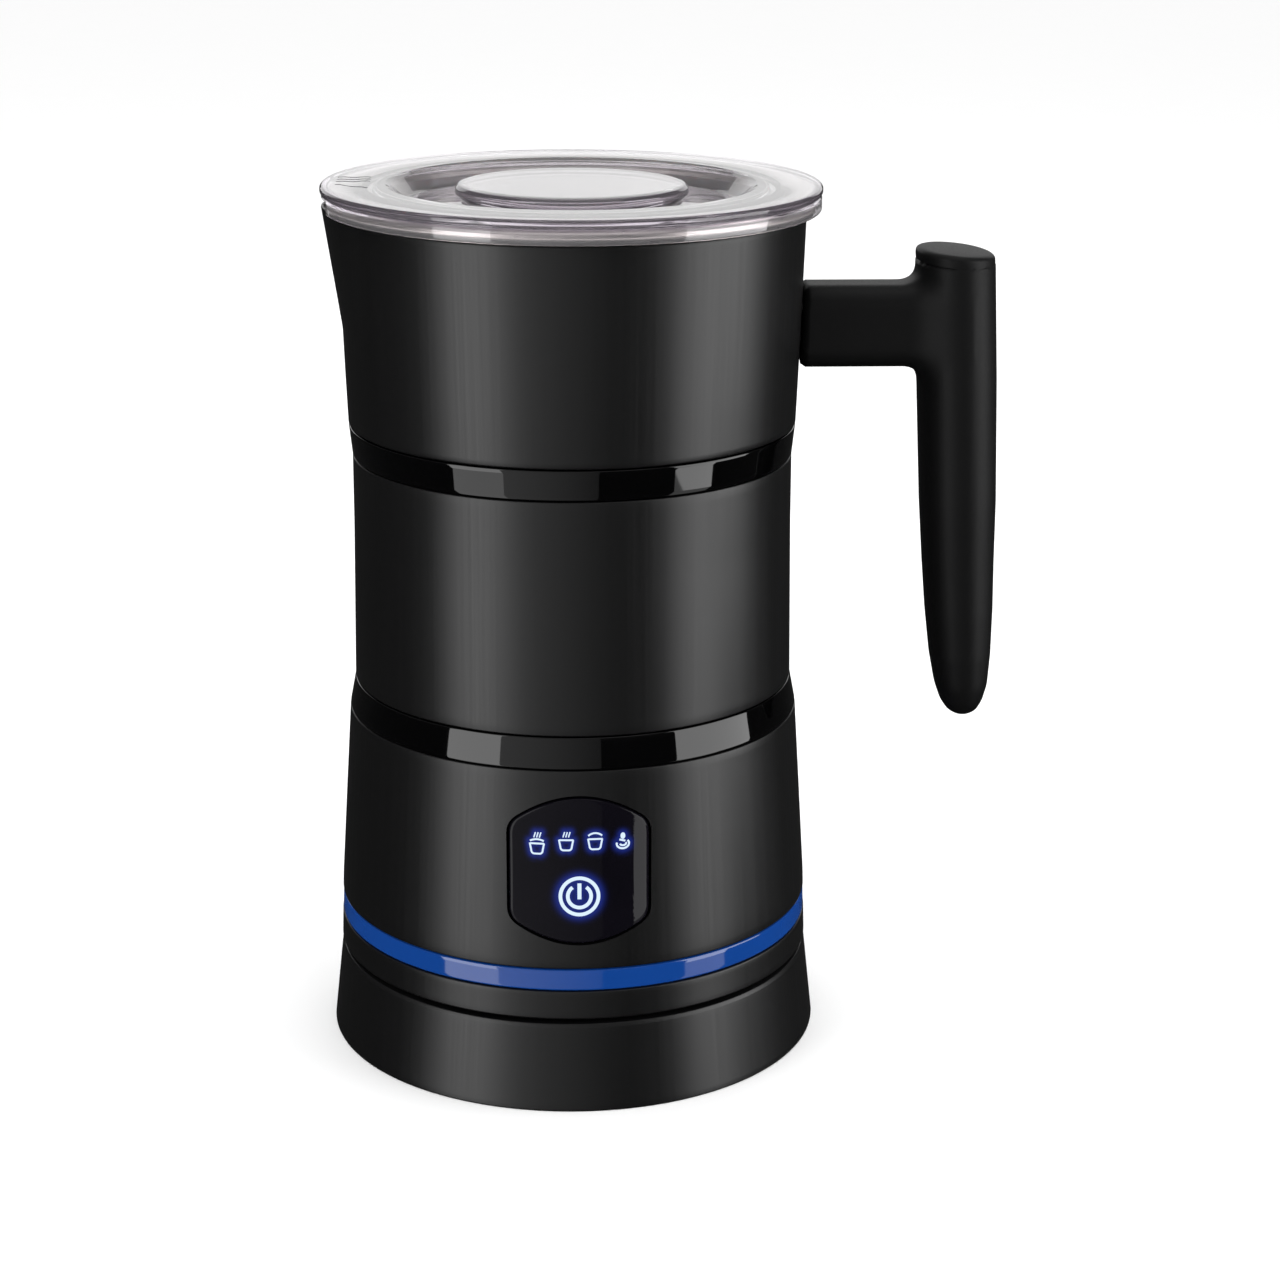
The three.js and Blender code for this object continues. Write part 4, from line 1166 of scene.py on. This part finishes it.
class FROTHER_OT_panel(bpy.types.Operator):
    """Make the touch window and its lit symbols"""
    bl_idname = "frother.panel"
    bl_label = "Control panel"
    bl_options = {"REGISTER", "UNDO"}

    def execute(self, context):
        proud = settings().panel_proud / MM
        fitted(self.window(panel_outline(0), proud), "jug", "panel_glass", "panel_window")
        flat, faces = [], []
        for path, width, closed in symbols():
            ribbon, quads = stroke(path, width, closed)
            first = sum(len(f) for f in flat)
            faces += [[v + first for v in f] for f in quads]
            flat.append(ribbon)
        flat = np.concatenate(flat)
        count = len(flat)
        sides = [wrapped(flat[:, 0], flat[:, 1], proud + out) for out in (SYMBOL_LIFT, -SYMBOL_LIFT)]
        edges = dict.fromkeys((a, b) for f in faces for a, b in zip(f, f[1:] + f[:1]))
        faces += [[v + count for v in f[::-1]] for f in faces]
        faces += [[b, a, a + count, b + count] for a, b in edges if (b, a) not in edges]
        piece = surface_object("symbols", np.concatenate(sides), faces)
        fitted(piece, "jug", "panel_glass", material=lit_symbol())
        return {"FINISHED"}

    def window(self, outline, proud):
        """The pane: its outline drawn in by rows, over a back, a rounded rim and the face."""
        away = outline - PANEL_CENTRE
        length = np.linalg.norm(away, axis=1)
        rim = [(0, PANEL_BACK), (0, proud - 0.42), (0.06, proud - 0.2), (0.2, proud - 0.07),
               (0.42, proud - 0.01)]
        rows = [(np.full_like(length, share), PANEL_BACK) for share in (0.02, 0.5)]
        rows += [(1 - inset / length, lift) for inset, lift in rim]
        rows += [((1 - 0.9 / length) * share, proud) for share in np.linspace(1, 0.012, 60)]
        layers = []
        for share, lift in rows:
            drawn = PANEL_CENTRE + away * share[:, None]
            layers.append(wrapped(drawn[:, 0], drawn[:, 1], lift))
        piece = capped(np.array(layers), "panel_window_finish")
        self.store(piece, read_points(piece.data) / MM)
        return piece

    def store(self, piece, points):
        """Keeps two fields with the pane's points: glow near the strokes and roll at the right edge.

        glow is the highest of e^-(gap / reach)^2 over the strokes, or a half inside the power mark.
        roll is the distance past a line near the edge, on the face only.
        """
        place = points[:, [0, 2]]
        glow = np.zeros(len(points))
        for path, width, _ in symbols():
            gap = np.linalg.norm(place[:, None] - path[None], axis=2).min(1)
            reach = 0.75 if width < 0.6 else 1.0
            glow = np.maximum(glow, np.exp(-(np.maximum(gap - width / 2, 0) / reach) ** 2))
        inside = np.hypot(place[:, 0], place[:, 1] - POWER_HEIGHT) < 3.9
        glow = np.maximum(glow, np.where(inside, 0.5, 0))
        face = np.hypot(points[:, 0], points[:, 1]) > jug_radius(points[:, 2]) - 1.0
        roll = np.maximum(place[:, 0] - PANEL_ROLL_START, 0) * face
        for name, values in (("glow", glow), ("roll", roll)):
            stored = piece.data.attributes.new(name, "FLOAT", "POINT")
            stored.data.foreach_set("value", values.astype(np.float32))


class FROTHER_OT_whisk(bpy.types.Operator):
    """Make the whisk: its wire coil and its hub"""
    bl_idname = "frother.whisk"
    bl_label = "Whisk"
    bl_options = {"REGISTER", "UNDO"}

    def execute(self, context):
        wire = settings().wire_radius / MM
        turns = settings().coil_turns
        half = (COIL_HIGH - COIL_LOW) / 2
        t = np.arange(turns * 14) / (turns * 14) * TAU
        r = COIL_REACH - half + (half - wire) * np.cos(t * turns)
        z = (COIL_LOW + COIL_HIGH) / 2 + (half - wire) * np.sin(t * turns)
        points, faces = tube_along(np.stack([r * np.cos(t), r * np.sin(t), z], -1), wire, 7, True)
        coil = surface_object("froth_coil_finish", points, faces, 80)
        fitted(coil, "whisk", "fastener_steel", "froth_coil")
        hub = turned("whisk_hub_finish", [
            [4, 62.5], [12, 62.5], [12, 64.2], [15.5, 65.2], [15.5, 68.6], [13.6, 68.6], [11, 66.6], [7, 67.2],
            [6, 73.4], [4, 73.4]], 96, 0.5)
        section = [[0, 60], [2.9, 60], [2.9, 64.9], [0, 64.9]]
        pockets = [moved(turned("pocket", section, 48, 0.01), x, 0) for x in (-8, 8)]
        fitted(carved(hub, pockets), "whisk", "whisk_plastic", "whisk_hub")
        return {"FINISHED"}


class FROTHER_OT_fittings(bpy.types.Operator):
    """Give every other part of the frame its finish"""
    bl_idname = "frother.fittings"
    bl_label = "Inner parts"
    bl_options = {"REGISTER", "UNDO"}

    def execute(self, context):
        for part in frame["record"]["subparts"]:
            node = frame["nodes"][part["node"]]
            if not node.hide_render:
                node.data.materials.clear()
                node.data.materials.append(finish_of(part["material_slot"]))
        return {"FINISHED"}


# ---- Stage ----
def softbox(name, azimuth, distance, width, height, lift, radiance):
    """An upright rectangular light at that azimuth from the front, facing the jug's axis."""
    a = math.radians(azimuth)
    light = bpy.data.lights.new(name, "AREA")
    light.shape = "RECTANGLE"
    light.size, light.size_y = width, height
    light.energy = radiance * math.pi * width * height
    lamp = linked(name, light)
    lamp.location = (math.sin(a) * distance, -math.cos(a) * distance, STAGE_MIDDLE + lift)
    lamp.rotation_euler = (math.radians(90), 0, a)
    lamp.visible_camera = False
    return lamp


class FROTHER_OT_stage(bpy.types.Operator):
    """Set out the floor, the lights and the camera"""
    bl_idname = "frother.stage"
    bl_label = "Stage"
    bl_options = {"REGISTER", "UNDO"}

    def execute(self, context):
        scene = bpy.context.scene
        lens = bpy.data.cameras.new("camera")
        lens.sensor_width = 36
        lens.lens = CAMERA_LENS
        lens.clip_start = 0.01
        camera = linked("camera", lens)
        camera.location = CAMERA_PLACE
        turn = Matrix.Rotation(math.radians(CAMERA_YAW), 3, "Z")
        turn = turn @ Matrix.Rotation(math.radians(CAMERA_PITCH), 3, "X")
        turn = turn @ Matrix.Rotation(math.radians(CAMERA_ROLL), 3, "Z")
        camera.rotation_euler = turn.to_euler()
        scene.camera = camera
        scene.view_settings.view_transform = "Standard"
        self.world()
        self.floor()
        lamps = [softbox(*box) for box in SOFTBOXES]
        lamps[-1].rotation_euler = (0, 0, 0)
        self.fill_card()
        return {"FINISHED"}

    def fill_card(self):
        """A curved card that glows softly and fades from left to right, for the jug's left front.

        It is an arc of a cylinder about the jug's axis: (d sin a, -d cos a, z).
        """
        azimuth = np.radians(np.linspace(-37, 12, 25))
        z = np.array([-CARD_HALF_HEIGHT, CARD_HALF_HEIGHT]) + STAGE_MIDDLE
        a, h = np.meshgrid(azimuth, z)
        points = np.stack([CARD_DISTANCE * np.sin(a), -CARD_DISTANCE * np.cos(a), h], -1).reshape(-1, 3)
        mesh = bpy.data.meshes.new("fill_card")
        mesh.from_pydata(points.tolist(), [], grid_faces(2, 25, wrap_columns=False))
        card = linked("fill_card", mesh)
        material = bpy.data.materials.new("fill_glow")
        material.use_nodes = True
        tree = material.node_tree
        tree.nodes.clear()
        out = tree.nodes.new("ShaderNodeOutputMaterial")
        glow = tree.nodes.new("ShaderNodeEmission")
        axis = tree.nodes.new("ShaderNodeSeparateXYZ")
        tree.links.new(object_place(tree), axis.inputs[0])
        fade = ranged(tree, axis.outputs["X"], 0.75, 0.2, -0.54, 0.19)
        tree.links.new(fade, glow.inputs["Strength"])
        tree.links.new(glow.outputs[0], out.inputs["Surface"])
        mesh.materials.append(material)
        card.visible_camera = False

    def world(self):
        """Pale to the camera and as fill, dark in low reflections, so that gloss shows the boxes."""
        world = bpy.data.worlds.new("studio")
        bpy.context.scene.world = world
        world.use_nodes = True
        tree = world.node_tree
        back = tree.nodes["Background"]
        back.inputs["Color"].default_value = (1, 1, 1, 1)
        direction = tree.nodes.new("ShaderNodeSeparateXYZ")
        tree.links.new(tree.nodes.new("ShaderNodeTexCoord").outputs["Generated"], direction.inputs[0])
        overhead = ranged(tree, direction.outputs["Z"], 0.02, 0.14, 0.0, 0.8)
        mirrored = tree.nodes.new("ShaderNodeLightPath").outputs["Is Glossy Ray"]
        strength = tree.nodes.new("ShaderNodeMix")
        tree.links.new(mirrored, strength.inputs["Factor"])
        strength.inputs["A"].default_value = 1.0
        tree.links.new(overhead, strength.inputs["B"])
        tree.links.new(strength.outputs["Result"], back.inputs["Strength"])

    def floor(self):
        """A wide sheet of pale paper."""
        mesh = bpy.data.meshes.new("floor")
        h = FLOOR_HALF
        mesh.from_pydata([(-h, -h, 0), (h, -h, 0), (h, h, 0), (-h, h, 0)], [], [(0, 1, 2, 3)])
        floor = linked("floor", mesh)
        material, tree, shader = node_tree("floor_paper")
        tint = np.array(settings().floor_colour)
        dressed(tree, shader, tinted(tree, noise(tree, object_place(tree), 30), tint * 0.99, tint))
        shader.inputs["Roughness"].default_value = 0.8
        shader.inputs["Specular IOR Level"].default_value = 0.1
        mesh.materials.append(material)
        floor.visible_glossy = False


class FROTHER_PT_panel(bpy.types.Panel):
    """Lists the pieces in the order they are made"""
    bl_label = "Milk frother"
    bl_idname = "FROTHER_PT_panel"
    bl_space_type = "VIEW_3D"
    bl_region_type = "UI"
    bl_category = "Frother"

    def draw(self, context):
        for name in FrotherSettings.__annotations__:
            self.layout.prop(context.scene.frother, name)
        for operator in OPERATORS:
            self.layout.operator(operator.bl_idname)


OPERATORS = (
    FROTHER_OT_stage, FROTHER_OT_base, FROTHER_OT_skirt, FROTHER_OT_shells, FROTHER_OT_pot,
    FROTHER_OT_lid, FROTHER_OT_handle, FROTHER_OT_panel, FROTHER_OT_whisk, FROTHER_OT_fittings,
)
CLASSES = (FrotherSettings,) + OPERATORS + (FROTHER_PT_panel,)


def register():
    for cls in CLASSES:
        bpy.utils.register_class(cls)
    bpy.types.Scene.frother = PointerProperty(type=FrotherSettings)


def unregister():
    del bpy.types.Scene.frother
    for cls in reversed(CLASSES):
        bpy.utils.unregister_class(cls)


def main():
    register()
    bpy.ops.frother.stage()
    bpy.ops.frother.base()
    bpy.ops.frother.skirt()
    bpy.ops.frother.shells()
    bpy.ops.frother.pot()
    bpy.ops.frother.lid()
    bpy.ops.frother.handle()
    bpy.ops.frother.panel()
    bpy.ops.frother.whisk()
    bpy.ops.frother.fittings()


if __name__ == "__main__":
    main()
